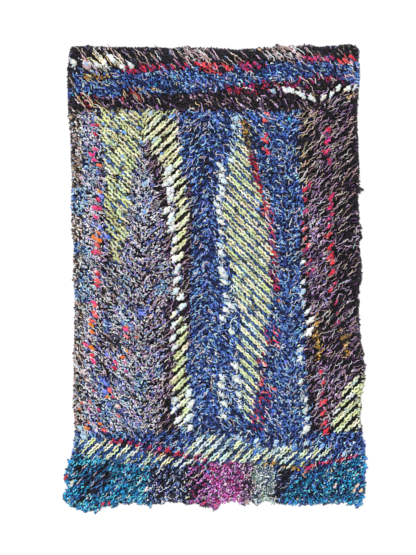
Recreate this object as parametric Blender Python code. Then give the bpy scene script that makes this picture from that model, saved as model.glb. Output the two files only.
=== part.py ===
"""A boucherouite rug: a shaggy rag pile in slanting rows on a woven ground.

The rug lies flat, face up, on the plane z = 0. X runs across it, Y along it
towards its upper end, and Z up. Sizes are in metres unless a name ends in MM.
The middle of its underside is the origin.
"""

import random

import bmesh
import bpy
from mathutils import Vector, noise

NAME = "rug"
SEED = 11

# The pile's rows slant at 45 degrees. A cell is half the distance between two rows.
CELL = 0.02133
COLUMNS = 53
ROWS = 85
LENGTH = ROWS * CELL

# Heights of the pile above the floor.
CREST = 0.0240
VALLEY = 0.0145
RIM = 0.0125
NEXT_TO_RIM = 0.0185
LUMP = 0.0032
LUMP_SPACING = 0.085
JITTER = 0.0018
PUFF_RISE = 0.0055

# How far in from the rim its waves die out, in cells.
WAVE_CELLS = 5
CORNER_CELLS = 3
CORNER_PULL = 0.013

# The rim's waves. Columns: distance along the edge from its upper or left end,
# how far the rim stands out from the straight edge.
LEFT_EDGE_MM = (
    (0, 7), (60, 10), (220, 13), (320, 5), (460, 1), (610, 1), (750, -7), (845, -11), (990, -15),
    (1180, -11), (1370, -7), (1520, -11), (1570, -15), (1620, -6), (1660, 8), (1710, 16), (1760, 13), (1813, 13),
)
RIGHT_EDGE_MM = (
    (0, -6), (80, 0), (220, -4), (270, -12), (370, -8), (600, -8), (700, 0), (845, 8), (895, 4), (990, -8),
    (1135, -4), (1230, 9), (1280, 12), (1325, 8), (1420, 4), (1470, -4), (1520, 8), (1615, 17), (1710, 17), (1813, 12),
)
UPPER_EDGE_MM = (
    (0, 2), (105, 2), (155, -2), (295, -2), (345, -6), (440, 2), (535, -6), (585, -10), (730, -10), (825, -2),
    (920, 2), (1015, 6), (1130, 6),
)
LOWER_EDGE_MM = (
    (0, 10), (55, 19), (105, 4), (155, 2), (200, -9), (250, -12), (295, 2), (345, -12), (440, -12), (490, -8),
    (537, 8), (585, -12), (635, -12), (680, -2), (730, -5), (775, -16), (870, -5), (920, -5), (1010, -9), (1110, -2),
)

# Slant of the rows. Columns: left side, right side, upper side and lower side of
# an area, as distances in mm from the rug's left and upper edges, and its slant:
# -1 falls to the right and 1 rises to the right. The last area that holds a point counts.
SLANTS_MM = (
    (0, 280, 0, 1813, -1),
    (280, 537, 246, 1813, 1),
    (537, 860, 246, 1813, -1),
    (860, 1131, 246, 1813, 1),
    (0, 1131, 0, 246, -1),
    (985, 1131, 140, 246, 1),
    (0, 1131, 1560, 1813, 1),
)

# Chains of plump fleece puffs that stand above the rag pile. Columns: x and y of
# the first puff, x and y of the last one, from the left and upper edges, and how
# many puffs the chain has.
PUFF_CHAINS_MM = (
    (0, 55, 260, 62, 9),
    (205, 86, 635, 74, 13),
    (700, 66, 1105, 42, 10),
    (10, 208, 290, 174, 8),
    (790, 172, 1130, 154, 11),
    (85, 305, 95, 640, 11),
    (95, 640, 95, 920, 9),
    (88, 930, 60, 1190, 8),
    (65, 1210, 75, 1530, 7),
    (205, 1115, 160, 1280, 6),
    (380, 485, 390, 720, 8),
    (392, 740, 425, 1020, 9),
    (400, 1040, 405, 1480, 9),
    (582, 470, 590, 735, 10),
    (590, 790, 612, 1030, 6),
    (590, 1080, 600, 1430, 8),
    (635, 1135, 665, 1440, 7),
    (700, 450, 805, 800, 13),
    (808, 850, 745, 1250, 9),
    (735, 1290, 725, 1560, 7),
    (935, 550, 950, 900, 11),
    (918, 850, 930, 1140, 7),
    (910, 1200, 930, 1530, 7),
    (1015, 330, 1020, 445, 4),
    (1030, 595, 1030, 900, 9),
    (1042, 940, 1065, 1125, 5),
    (990, 1290, 1010, 1520, 7),
    (155, 1570, 545, 1640, 11),
    (655, 1555, 935, 1580, 8),
    (770, 1660, 925, 1700, 5),
    (935, 1680, 1130, 1630, 7),
)
PUFF_SWAY = 0.007

# The locks: rags that hang over the rim and rest on the floor.
LOCK_LENGTH = 0.0100
LOCK_LENGTH_SPREAD = 0.0065
LOCK_WIDTH_AT_TIP = 0.36
LOCK_WIDTH_SPREAD = 0.16
LOCK_TIP_HEIGHT = 0.0045
LOCK_SWAY = 0.006
PLAIN_SIDE_EVERY = 6
LONG_LOCK = 0.020

# Longer locks. Columns: edge, distance along it, how far on each side of that
# point they reach, and how much longer than the others they are.
LONG_LOCKS_MM = (
    ("right", 566, 11, 20),
    ("right", 714, 11, 12),
    ("right", 750, 11, 12),
    ("right", 870, 11, 10),
    ("right", 922, 11, 13),
    ("right", 1226, 11, 9),
    ("right", 1274, 11, 11),
    ("left", 1706, 32, 15),
    ("left", 1600, 11, 6),
    ("lower", 50, 40, 8),
    ("lower", 295, 11, 9),
    ("lower", 537, 11, 9),
    ("lower", 680, 11, 7),
)


def between(table, along):
    """The table's second column at a distance in its first one, both in mm."""
    for (start, low), (end, high) in zip(table, table[1:]):
        if along <= end:
            share = max(0.0, (along - start) / (end - start))
            return low + (high - low) * share
    return table[-1][1]


def fade(cells):
    """1 at the rim, falling smoothly to 0 where its waves die out."""
    share = max(0.0, 1.0 - cells / WAVE_CELLS)
    return share * share * (3.0 - 2.0 * share)


def place(column, row):
    """Where a corner of the cells lies on the floor, from the left and lower edges."""
    x_mm = column * CELL * 1000
    y_mm = (ROWS - row) * CELL * 1000
    x = column * CELL
    y = row * CELL
    x -= between(LEFT_EDGE_MM, y_mm) / 1000 * fade(column)
    x += between(RIGHT_EDGE_MM, y_mm) / 1000 * fade(COLUMNS - column)
    y += between(UPPER_EDGE_MM, x_mm) / 1000 * fade(ROWS - row)
    y -= between(LOWER_EDGE_MM, x_mm) / 1000 * fade(row)
    from_side = min(column, COLUMNS - column)
    from_end = min(row, ROWS - row)
    pull = CORNER_PULL * max(0.0, 1.0 - (from_side + from_end) / CORNER_CELLS)
    x += pull if column < COLUMNS / 2 else -pull
    y += pull if row < ROWS / 2 else -pull
    return x, y


def puff_corners(rng):
    """The corners of the cells that carry a puff."""
    corners = set()
    for x0, y0, x1, y1, count in PUFF_CHAINS_MM:
        for step in range(count):
            share = step / (count - 1)
            x = (x0 + (x1 - x0) * share) / 1000 + rng.uniform(-PUFF_SWAY, PUFF_SWAY)
            y = LENGTH - (y0 + (y1 - y0) * share) / 1000
            corners.add((round(x / CELL), round(y / CELL)))
    return corners


def height(column, row, puffs, rng):
    """How high the pile stands at a corner of the cells."""
    from_rim = min(column, COLUMNS - column, row, ROWS - row)
    crest = (column + row) % 2 == 0
    level = CREST if crest else VALLEY
    if from_rim == 0:
        level = RIM
    elif from_rim == 1 and crest:
        level = NEXT_TO_RIM
    x, y = place(column, row)
    level += LUMP * noise.noise(Vector((x / LUMP_SPACING, y / LUMP_SPACING, 0.5)))
    level += rng.uniform(-JITTER, JITTER)
    if (column, row) in puffs:
        level += PUFF_RISE
    return level


def slant_at(column, row):
    """Which way the rows slant in a cell."""
    x_mm = (column + 0.5) * CELL * 1000
    y_mm = (ROWS - row - 0.5) * CELL * 1000
    slant = -1
    for left, right, upper, lower, way in SLANTS_MM:
        if left <= x_mm <= right and upper <= y_mm <= lower:
            slant = way
    return slant


def lay_pile(bm):
    """The pile's upper face, with a crest along each slanting row."""
    rng = random.Random(SEED)
    bmesh.ops.create_grid(bm, x_segments=COLUMNS, y_segments=ROWS, size=0.5)
    bm.verts.ensure_lookup_table()
    puffs = puff_corners(rng)
    corners = {}
    for vert in bm.verts:
        column = round((vert.co.x + 0.5) * COLUMNS)
        row = round((vert.co.y + 0.5) * ROWS)
        corners[column, row] = vert
    for (column, row), vert in sorted(corners.items(), key=lambda item: item[0]):
        x, y = place(column, row)
        vert.co = (x, y, height(column, row, puffs, rng))
    for column in range(COLUMNS):
        for row in range(ROWS):
            ends = (corners[column, row], corners[column + 1, row + 1])
            if slant_at(column, row) < 0:
                ends = (corners[column + 1, row], corners[column, row + 1])
            bmesh.ops.connect_verts(bm, verts=list(ends))


def close_underside(bm):
    """Side walls down to the floor from the rim, and one flat underside."""
    rim = [edge for edge in bm.edges if edge.is_boundary]
    walls = bmesh.ops.extrude_edge_only(bm, edges=rim)["geom"]
    for item in walls:
        if isinstance(item, bmesh.types.BMVert):
            item.co.z = 0.0
    sides = [item for item in walls if isinstance(item, bmesh.types.BMFace)]
    foot = [edge for edge in bm.edges if edge.is_boundary]
    bmesh.ops.edgeloop_fill(bm, edges=foot)
    bmesh.ops.recalc_face_normals(bm, faces=bm.faces)
    return sides


def lock_length(side, rng):
    """How far a lock at a side wall reaches over the floor."""
    middle = side.calc_center_median()
    outward = side.normal
    if abs(outward.x) > abs(outward.y):
        edge = "right" if outward.x > 0 else "left"
        along_mm = (LENGTH - middle.y) * 1000
    else:
        edge = "upper" if outward.y > 0 else "lower"
        along_mm = middle.x * 1000
    length = LOCK_LENGTH + rng.uniform(-LOCK_LENGTH_SPREAD, LOCK_LENGTH_SPREAD)
    for long_edge, at, reach, longer in LONG_LOCKS_MM:
        if edge == long_edge and abs(along_mm - at) <= reach:
            length += longer / 1000
    return length


def draw_out(bm, face, reach, sway, width, top):
    """Extrudes a face sideways into one stretch of a lock, flat on the floor."""
    outward = Vector((face.normal.x, face.normal.y, 0.0)).normalized()
    along = Vector((-outward.y, outward.x, 0.0))
    middle = face.calc_center_median()
    tip = bmesh.ops.extrude_discrete_faces(bm, faces=[face])["faces"][0]
    for vert in tip.verts:
        across = (vert.co - middle).dot(along)
        moved = middle + outward * reach + along * (across * width + sway)
        vert.co = (moved.x, moved.y, top if vert.co.z > 0.001 else 0.0)
    tip.normal_update()
    return tip


def grow_locks(bm, sides):
    """A tapering lock on most side walls."""
    rng = random.Random(SEED + 1)
    rim_order = sorted(sides, key=lambda side: side.calc_center_median().to_tuple(5))
    for number, side in enumerate(rim_order):
        length = lock_length(side, rng)
        sway = rng.uniform(-LOCK_SWAY, LOCK_SWAY)
        width = LOCK_WIDTH_AT_TIP + rng.uniform(-LOCK_WIDTH_SPREAD, LOCK_WIDTH_SPREAD)
        if length > LONG_LOCK:
            waist = draw_out(bm, side, length * 0.5, -0.4 * sway, 0.72, RIM * 0.7)
            draw_out(bm, waist, length * 0.5, sway, width, LOCK_TIP_HEIGHT)
        elif number % PLAIN_SIDE_EVERY:
            draw_out(bm, side, length, sway, width, LOCK_TIP_HEIGHT)


def centre(bm):
    """Moves the middle of the underside to the origin."""
    xs = [vert.co.x for vert in bm.verts]
    ys = [vert.co.y for vert in bm.verts]
    middle = Vector(((min(xs) + max(xs)) / 2, (min(ys) + max(ys)) / 2, 0.0))
    bmesh.ops.translate(bm, verts=bm.verts, vec=-middle)
    print("left and lower edges at", round(-middle.x, 5), round(-middle.y, 5))


def build():
    for thing in list(bpy.data.objects):
        bpy.data.objects.remove(thing)
    collection = bpy.data.collections.new("boucherouite rug")
    bpy.context.scene.collection.children.link(collection)
    bm = bmesh.new()
    lay_pile(bm)
    sides = close_underside(bm)
    grow_locks(bm, sides)
    centre(bm)
    bmesh.ops.recalc_face_normals(bm, faces=bm.faces)
    mesh = bpy.data.meshes.new(NAME)
    bm.to_mesh(mesh)
    bm.free()
    collection.objects.link(bpy.data.objects.new(NAME, mesh))


build()
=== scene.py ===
"""The looks of a boucherouite rug: rag tufts, threads and fleece puffs on a woven ground.

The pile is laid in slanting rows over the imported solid. Places on the rug are
given in pixels of the photo, u to the right and v down, because the photo
shows the rug face on. Everything else is in metres.
"""

import math

import bpy
import numpy as np
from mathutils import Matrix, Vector
from mathutils.bvhtree import BVHTree


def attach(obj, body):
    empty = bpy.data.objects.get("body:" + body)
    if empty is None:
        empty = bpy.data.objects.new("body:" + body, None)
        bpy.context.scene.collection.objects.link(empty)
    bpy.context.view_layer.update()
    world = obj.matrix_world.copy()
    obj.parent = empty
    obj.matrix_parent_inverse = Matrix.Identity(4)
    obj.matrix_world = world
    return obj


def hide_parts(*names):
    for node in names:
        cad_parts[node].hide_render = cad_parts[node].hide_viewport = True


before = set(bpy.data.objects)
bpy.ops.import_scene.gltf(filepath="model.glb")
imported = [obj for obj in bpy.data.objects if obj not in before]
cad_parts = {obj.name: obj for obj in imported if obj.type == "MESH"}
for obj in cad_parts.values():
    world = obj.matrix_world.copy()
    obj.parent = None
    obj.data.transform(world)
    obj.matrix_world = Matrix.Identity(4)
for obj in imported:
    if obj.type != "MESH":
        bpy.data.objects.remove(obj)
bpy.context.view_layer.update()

SEED = 20
NODE = "rug"
BODY = "root"

# How the photo's pixels lie on the rug, and the solid's rows of cells: the size
# of a pixel, the solid's left and lower corner, that corner's u, the upper v,
# and the cells' size and number. Then half the size of the box around all.
PIXEL = 0.004
LEFT = -0.56239
LOWER = -0.89834
LEFT_U = 73.8
UPPER_V = 48.5
CELL = 0.02133
ROWS = 85
UPPER = LOWER + ROWS * CELL
PHOTO_SIZE = (416, 555)
HALF_X = 0.61
HALF_Y = 0.95

# Colours of the rags, in sRGB.
COLOURS = {
    "black": (16, 15, 22),
    "charcoal": (45, 42, 57),
    "ink": (24, 26, 52),
    "navy": (36, 48, 108),
    "deep blue": (53, 82, 162),
    "royal": (76, 119, 211),
    "cornflower": (126, 174, 241),
    "sky": (176, 214, 240),
    "ice": (206, 228, 238),
    "white": (244, 247, 246),
    "periwinkle": (136, 148, 250),
    "slate": (103, 120, 163),
    "steel": (156, 182, 223),
    "silver": (237, 242, 250),
    "teal": (20, 100, 150),
    "cyan": (34, 160, 216),
    "aqua": (104, 208, 244),
    "lime": (216, 223, 168),
    "pale lime": (234, 239, 202),
    "straw": (208, 192, 138),
    "khaki": (138, 130, 86),
    "cream": (246, 240, 214),
    "beige": (240, 218, 200),
    "peach": (248, 214, 162),
    "blush": (250, 216, 218),
    "gold": (222, 156, 56),
    "orange": (250, 129, 50),
    "coral": (246, 106, 106),
    "red": (240, 54, 74),
    "crimson": (201, 36, 67),
    "pink": (250, 76, 141),
    "magenta": (204, 40, 128),
    "orchid": (228, 122, 212),
    "lilac": (228, 192, 247),
    "mauve": (168, 134, 177),
    "plum": (108, 67, 120),
    "aubergine": (57, 38, 64),
    "rose taupe": (199, 168, 170),
    "taupe": (168, 148, 141),
    "umber": (108, 84, 74),
    "sable": (40, 31, 32),
    "sage": (158, 180, 172),
    "pale sage": (223, 242, 235),
}

# What a palette says where its own lines give nothing else.
PLAIN_PALETTE = {
    "combed": 0.3, "long": 1.0, "wide": 1.0, "thread_width": 0.0034, "thread_length": 0.028,
    "strands": (), "strand_width": 0.0, "strand_share": 1.0, "dark_strands": (), "stray": 0.03,
}


def mix(text):
    """Colours and their weights, from a list in words such as "navy 52, black 8"."""
    pairs = (part.rsplit(" ", 1) for part in text.split(", "))
    return {colour: int(weight) for colour, weight in pairs}


def palette(crest, gap, thread, **values):
    """What grows in one kind of area.

    crest, gap and thread: colours and weights of the rags on the rows' crests, of those in the gaps between
    rows, and of the threads and strands. The gap colours, mostly darker than the crests', are partly the
    rags' own and partly painted shade in the hollows between rows.
    rows: how far the slanting rows stand out from the gaps between them.
    combed: how closely the rags follow their row.
    long, wide: factors for the length and width of a rag crumb.
    threads: share of the places for a thread that have one.
    thread_width, thread_length, strand_width: sizes in metres.
    strands and the black strands: lines on which thick strands and thin black ones run, as shares of the
    rows' pitch beside a crest. The thin black ones are painted shadow along the thick ones' edges.
    strand_share: share of the places for a strand that have one.
    stray: how far strands turn out of their row, in radians.
    """
    return {"crest": mix(crest), "gap": mix(gap), "thread": mix(thread), **PLAIN_PALETTE, **values}


PALETTES = {
    "royal": palette(
        combed=0.8, rows=0.45, long=1.3, wide=0.86, threads=0.24, thread_width=0.0027,
        crest="royal 26, deep blue 21, navy 12, cornflower 22, sky 4, periwinkle 9, ink 3, silver 3",
        gap="ink 40, navy 52, black 8",
        thread="beige 18, silver 20, blush 18, sky 22, cornflower 22",
    ),
    "cobalt": palette(
        combed=0.55, rows=0.3, long=1.2, wide=0.9, threads=0.24, thread_width=0.0027,
        crest="royal 27, deep blue 22, navy 12, cornflower 22, sky 4, periwinkle 6, ink 3, silver 4",
        gap="ink 40, navy 50, black 10",
        thread="beige 20, silver 20, blush 18, sky 22, cornflower 20",
    ),
    "surf": palette(
        combed=0.65, rows=0.32, long=1.2, wide=0.9, threads=0.24, thread_width=0.0027,
        crest="royal 30, cornflower 28, deep blue 16, navy 7, sky 6, periwinkle 6, silver 7",
        gap="ink 26, navy 60, deep blue 14",
        thread="beige 16, silver 22, blush 18, sky 22, cornflower 22",
    ),
    "azure": palette(
        combed=0.65, rows=0.35, long=1.2, wide=0.9, threads=0.26, thread_width=0.0027,
        crest=("royal 26, cornflower 22, deep blue 22, navy 12, sky 6, cyan 2, periwinkle 6, silver 2, "
               "mauve 2"),
        gap="ink 42, navy 50, black 8",
        thread="sky 22, cornflower 24, beige 20, blush 20, ice 8, peach 6",
    ),
    "leaf": palette(
        combed=1.0, rows=1.0, long=1.2, threads=0.04, strands=(-0.2, 0.2), strand_width=0.0082,
        dark_strands=(-0.345, 0.345), stray=0.045,
        crest="straw 32, lime 38, khaki 12, beige 12, umber 6",
        gap="royal 28, cornflower 46, sky 14, deep blue 8, navy 2, ink 2",
        thread="pale lime 60, lime 30, cream 10",
    ),
    "leaf tail": palette(
        combed=1.0, rows=1.0, long=1.1, threads=0.08, strands=(-0.15, 0.15), strand_width=0.0084,
        strand_share=0.97, dark_strands=(-0.31, 0.31),
        crest="straw 16, lime 26, cream 10, pale sage 14, sky 12, cornflower 14, royal 8",
        gap="royal 30, cornflower 38, sky 12, deep blue 12, navy 6, ink 2",
        thread="pale lime 56, lime 14, cream 24, pale sage 6",
    ),
    "leaf bars": palette(
        combed=1.0, rows=1.0, threads=0.04, strands=(-0.17, 0.17), strand_width=0.0092, strand_share=0.88,
        dark_strands=(-0.34, 0.34),
        crest="lime 22, pale sage 30, khaki 2, blush 6, sky 28, cornflower 12",
        gap="royal 24, cornflower 50, sky 26",
        thread="pale lime 42, lime 4, pale sage 32, ice 22",
    ),
    "leaf arm": palette(
        combed=1.0, rows=1.0, threads=0.04, strands=(-0.16, 0.16), strand_width=0.0113, stray=0.05,
        crest="lime 40, straw 16, khaki 6, beige 14, pale sage 24",
        gap="black 42, sable 26, ink 16, khaki 10, umber 6",
        thread="pale lime 62, lime 26, cream 12",
    ),
    "leaf band": palette(
        combed=1.0, rows=1.0, threads=0.04, strands=(-0.16, 0.16), strand_width=0.0081, strand_share=0.86,
        crest="lime 22, straw 4, khaki 8, cornflower 20, royal 14, pale sage 10, navy 12, teal 10",
        gap="royal 22, cornflower 20, teal 10, deep blue 14, navy 16, ink 12, black 6",
        thread="pale lime 56, lime 22, pale sage 18, straw 4",
    ),
    "leaf corner": palette(
        combed=1.0, rows=1.0, threads=0.0, strands=(-0.15, 0.15), strand_width=0.0096,
        crest="lime 36, pale lime 24, khaki 10, pale sage 30",
        gap="black 76, sable 10, ink 14",
        thread="pale lime 60, lime 26, pale sage 14",
    ),
    "garnet": palette(
        combed=0.8, rows=0.2, long=1.2, threads=0.3,
        crest="crimson 56, red 14, magenta 6, umber 8, navy 8, coral 8",
        gap="ink 40, crimson 50, black 10",
        thread="red 40, crimson 40, peach 20",
    ),
    "pale leaf": palette(
        combed=1.0, rows=0.7, threads=0.1, strands=(-0.24, 0.24), strand_width=0.0098, strand_share=0.9,
        stray=0.13,
        crest="lime 38, straw 16, khaki 16, umber 7, sable 5, cornflower 12, royal 6",
        gap="sable 26, black 20, umber 8, khaki 12, cornflower 20, royal 14",
        thread="pale lime 36, lime 56, cream 4, straw 4",
    ),
    "coral edge": palette(
        combed=0.9, rows=0.6, long=1.2, threads=0.46, thread_width=0.0036,
        crest="coral 27, pink 7, crimson 12, red 5, lime 8, navy 16, deep blue 18, ink 7",
        gap="ink 30, navy 34, royal 24, crimson 12",
        thread="coral 48, pale lime 22, blush 22, crimson 8",
    ),
    "coral trace": palette(
        combed=0.8, rows=0.5, threads=0.46,
        crest="coral 9, pink 4, crimson 6, lime 6, navy 20, deep blue 26, royal 21, ink 8",
        gap="ink 30, navy 44, royal 26",
        thread="coral 44, pink 10, pale lime 10, blush 20, crimson 16",
    ),
    "crimson edge": palette(
        combed=0.9, rows=0.6, long=1.3, threads=0.34,
        crest="crimson 24, magenta 6, navy 18, black 26, aubergine 18, royal 8",
        gap="ink 40, crimson 6, black 54",
        thread="red 14, crimson 26, blush 36, rose taupe 24",
    ),
    "gold": palette(
        combed=0.7, rows=0.4, threads=0.3, thread_width=0.0036,
        crest="gold 36, straw 12, khaki 16, umber 24, sable 12",
        gap="umber 30, black 40, ink 30",
        thread="gold 60, peach 40",
    ),
    "speckle": palette(
        combed=0.72, rows=0.32, long=1.05, wide=0.92, threads=0.52, thread_width=0.0028,
        thread_length=0.021,
        crest=("silver 31, mauve 14, rose taupe 16, lilac 5, steel 9, periwinkle 18, ice 5, charcoal 5, "
               "ink 4, slate 3, cornflower 5"),
        gap="black 42, ink 26, charcoal 26, slate 6",
        thread="silver 46, blush 20, beige 14, ice 6, lilac 14",
    ),
    "cool speckle": palette(
        combed=0.72, rows=0.28, long=1.05, wide=0.94, threads=0.6, thread_width=0.0028, thread_length=0.021,
        crest=("sky 6, periwinkle 15, steel 11, silver 46, ice 5, cornflower 7, mauve 7, rose taupe 8, "
               "lilac 6, beige 4"),
        gap="black 18, ink 34, navy 24, slate 24",
        thread="ice 14, silver 52, sky 6, lilac 20, blush 8",
    ),
    "dim speckle": palette(
        combed=0.72, rows=0.36, long=1.05, wide=0.92, threads=0.52, thread_width=0.0028,
        thread_length=0.022,
        crest=("charcoal 9, aubergine 5, mauve 18, rose taupe 14, taupe 3, silver 25, lilac 8, ink 4, "
               "slate 5, umber 2, periwinkle 22"),
        gap="black 52, sable 18, ink 30",
        thread="silver 40, beige 14, rose taupe 16, blush 16, lilac 14",
    ),
    "murk": palette(
        combed=0.75, rows=0.4, long=1.1, wide=0.9, threads=0.48, thread_width=0.0027, thread_length=0.022,
        crest=("sable 9, umber 10, charcoal 14, aubergine 7, rose taupe 18, taupe 13, silver 18, slate 7, "
               "periwinkle 4"),
        gap="black 64, sable 20, slate 16",
        thread="silver 42, beige 26, rose taupe 20, lilac 12",
    ),
    "taupe edge": palette(
        combed=0.8, rows=0.25, long=1.25, threads=0.36, thread_width=0.0029,
        crest=("taupe 20, rose taupe 13, silver 17, umber 12, sable 11, charcoal 9, steel 7, cream 6, "
               "khaki 4, slate 1"),
        gap="black 46, sable 30, umber 24",
        thread="silver 36, beige 38, rose taupe 16, ice 10",
    ),
    "blue fleck": palette(
        rows=0.12, threads=0.3, thread_width=0.003,
        crest="cornflower 25, sky 21, ice 7, royal 11, steel 11, navy 8, silver 11, rose taupe 6",
        gap="ink 50, navy 30, black 20",
        thread="ice 40, sky 40, silver 20",
    ),
    "pale fleck": palette(
        combed=0.72, rows=0.25, long=1.1, wide=0.94, threads=0.66, thread_width=0.0029, thread_length=0.022,
        crest="silver 46, lilac 12, blush 6, periwinkle 14, sky 6, rose taupe 10, steel 6",
        gap="ink 50, charcoal 30, slate 20",
        thread="silver 56, blush 18, lilac 18, beige 8",
    ),
    "iris": palette(
        combed=0.8, rows=0.3, long=1.3, threads=0.3, thread_width=0.003,
        crest="periwinkle 44, royal 20, cornflower 12, navy 14, slate 10",
        gap="ink 50, navy 50",
        thread="periwinkle 60, silver 40",
    ),
    "ice": palette(
        rows=0.3, threads=0.5, thread_width=0.0036,
        crest="ice 22, white 8, sky 20, cornflower 18, royal 18, navy 14",
        gap="ink 40, navy 40, royal 20",
        thread="ice 60, white 20, sky 20",
    ),
    "frost": palette(
        rows=0.2, wide=1.1, threads=0.4, thread_length=0.022,
        crest="ice 24, white 28, sky 14, cornflower 10, royal 12, silver 8, navy 4",
        gap="ink 30, navy 40, royal 30",
        thread="ice 40, white 40, sky 20",
    ),
    "dusk": palette(
        combed=0.8, rows=0.6, long=1.3, wide=0.74, threads=0.56, thread_width=0.0023, thread_length=0.036,
        crest="sable 26, aubergine 24, plum 9, mauve 11, charcoal 12, rose taupe 7, ink 9, taupe 2",
        gap="black 90, sable 10",
        thread="rose taupe 28, lilac 20, beige 20, mauve 24, silver 8",
    ),
    "night": palette(
        combed=0.88, rows=0.75, long=1.4, wide=0.72, threads=0.42, thread_width=0.0025, thread_length=0.042,
        crest="sable 28, black 30, aubergine 18, charcoal 6, mauve 6, umber 5, rose taupe 3, plum 4",
        gap="black 100",
        thread="rose taupe 22, taupe 12, beige 22, mauve 14, blush 26, silver 4",
    ),
    "violet night": palette(
        combed=0.8, rows=0.7, long=1.3, wide=0.72, threads=0.45, thread_width=0.0024, thread_length=0.036,
        crest="sable 24, black 30, aubergine 19, charcoal 7, mauve 8, plum 8, rose taupe 3, lilac 1",
        gap="black 100",
        thread="rose taupe 20, lilac 24, mauve 14, blush 22, silver 10, beige 10",
    ),
    "lilac dusk": palette(
        combed=0.74, rows=0.6, long=1.3, wide=0.76, threads=0.58, thread_width=0.0024, thread_length=0.032,
        crest=("mauve 23, lilac 10, aubergine 18, sable 15, plum 13, rose taupe 7, charcoal 6, silver 3, "
               "periwinkle 5"),
        gap="black 86, aubergine 14",
        thread="lilac 32, mauve 18, rose taupe 18, blush 22, silver 10",
    ),
    "peach night": palette(
        combed=0.85, rows=0.5, long=1.4, wide=0.8, threads=0.42, thread_width=0.0032, thread_length=0.034,
        crest="sable 26, black 20, aubergine 16, mauve 8, peach 6, navy 12, umber 12",
        gap="black 100",
        thread="peach 40, beige 38, blush 14, cream 8",
    ),
    "coal": palette(
        combed=1.0, rows=0.9, long=1.6, wide=0.8, threads=0.24, thread_width=0.0033, thread_length=0.05,
        crest="charcoal 46, black 22, sable 8, aubergine 10, slate 7, mauve 4, taupe 3",
        gap="black 80, charcoal 20",
        thread="blush 34, beige 34, rose taupe 24, lilac 8",
    ),
    "ash": palette(
        combed=0.9, rows=0.6, long=1.3, threads=0.75, thread_width=0.0032, thread_length=0.044,
        crest="rose taupe 34, taupe 22, silver 14, charcoal 18, aubergine 12",
        gap="black 70, charcoal 30",
        thread="rose taupe 44, silver 36, blush 20",
    ),
    "cloud": palette(
        combed=1.0, rows=0.9, long=1.6, wide=0.8, threads=0.54, thread_width=0.0044, thread_length=0.054,
        crest="charcoal 36, black 22, pale sage 9, cream 6, taupe 12, blush 6, mauve 9",
        gap="black 100",
        thread="cream 20, pale sage 18, silver 12, peach 14, blush 22, rose taupe 14",
    ),
    "smoke": palette(
        combed=0.82, rows=0.6, long=1.25, wide=0.86, threads=0.17, thread_width=0.0028, thread_length=0.032,
        crest="sable 24, black 20, aubergine 16, plum 8, mauve 12, charcoal 8, umber 7, rose taupe 5",
        gap="black 100",
        thread="mauve 32, lilac 18, rose taupe 26, peach 14, beige 10",
    ),
    "ember": palette(
        combed=0.95, rows=0.75, long=1.4, wide=0.8, threads=0.62, thread_width=0.0032, thread_length=0.044,
        crest="coral 9, red 5, crimson 12, peach 4, mauve 8, aubergine 26, black 36",
        gap="black 95, crimson 5",
        thread="peach 40, coral 30, blush 30",
    ),
    "wine": palette(
        combed=0.8, rows=0.6, long=1.2, threads=0.34, thread_width=0.003,
        crest="crimson 15, magenta 13, plum 16, aubergine 22, black 20, mauve 6, navy 8",
        gap="black 90, crimson 10",
        thread="blush 34, beige 22, magenta 24, crimson 20",
    ),
    "scarlet": palette(
        combed=0.85, rows=0.5, long=1.2, threads=0.4, thread_width=0.0036,
        crest="red 18, coral 18, crimson 18, black 20, aubergine 18, royal 8",
        gap="black 80, crimson 20",
        thread="coral 36, blush 46, red 18",
    ),
    "rose": palette(
        rows=0.4, threads=0.3, thread_width=0.0036,
        crest="magenta 40, crimson 26, pink 6, plum 14, black 14",
        gap="black 80, magenta 20",
        thread="blush 50, magenta 30, pink 20",
    ),
    "tide": palette(
        combed=0.5, rows=0.3, wide=0.9, threads=0.24, thread_width=0.0027, thread_length=0.02,
        crest="teal 8, cyan 42, aqua 18, navy 4, ink 3, deep blue 8, royal 13, ice 4",
        gap="ink 46, navy 32, teal 22",
        thread="aqua 30, cyan 30, steel 16, blush 6, ice 14, peach 4",
    ),
    "lagoon": palette(
        combed=0.95, rows=0.3, long=1.3, wide=0.88, threads=0.34, thread_width=0.0028,
        crest="teal 22, cyan 32, aqua 26, navy 3, ink 3, deep blue 5, steel 7, beige 2",
        gap="ink 34, black 14, teal 52",
        thread="aqua 26, cyan 22, steel 16, blush 18, ice 12, peach 6",
    ),
    "deep lagoon": palette(
        combed=0.95, rows=0.5, long=1.35, wide=0.84, threads=0.26, thread_width=0.003,
        crest="teal 30, ink 16, navy 18, black 8, cyan 16, slate 6, cornflower 6",
        gap="black 60, ink 40",
        thread="steel 36, blush 30, cyan 34",
    ),
    "storm": palette(
        combed=0.6, rows=0.35, long=0.95, wide=0.9, threads=0.34, thread_width=0.0025, thread_length=0.02,
        crest="ink 22, charcoal 9, navy 24, slate 17, silver 9, steel 11, periwinkle 8",
        gap="black 40, ink 60",
        thread="silver 50, steel 30, lilac 20",
    ),
    "violet": palette(
        combed=0.6, rows=0.4, threads=0.4, thread_width=0.0032,
        crest="plum 28, mauve 16, magenta 10, aubergine 16, navy 8, orchid 17, black 5",
        gap="black 60, aubergine 40",
        thread="orchid 40, lilac 40, peach 20",
    ),
    "fuchsia": palette(
        combed=0.4, rows=0.2, long=0.85, wide=0.92, threads=0.16, thread_width=0.0028, thread_length=0.018,
        crest="orchid 52, magenta 14, pink 3, plum 3, lilac 21, mauve 2, blush 6",
        gap="plum 58, aubergine 14, magenta 8, mauve 20",
        thread="orchid 46, lilac 30, blush 24",
    ),
    "heather": palette(
        combed=0.4, rows=0.25, long=0.85, wide=0.92, threads=0.18, thread_width=0.0028, thread_length=0.018,
        crest="mauve 24, lilac 24, rose taupe 22, blush 14, plum 8, aubergine 6, silver 2",
        gap="aubergine 40, plum 30, charcoal 30",
        thread="blush 50, lilac 30, beige 20",
    ),
    "lichen": palette(
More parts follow.
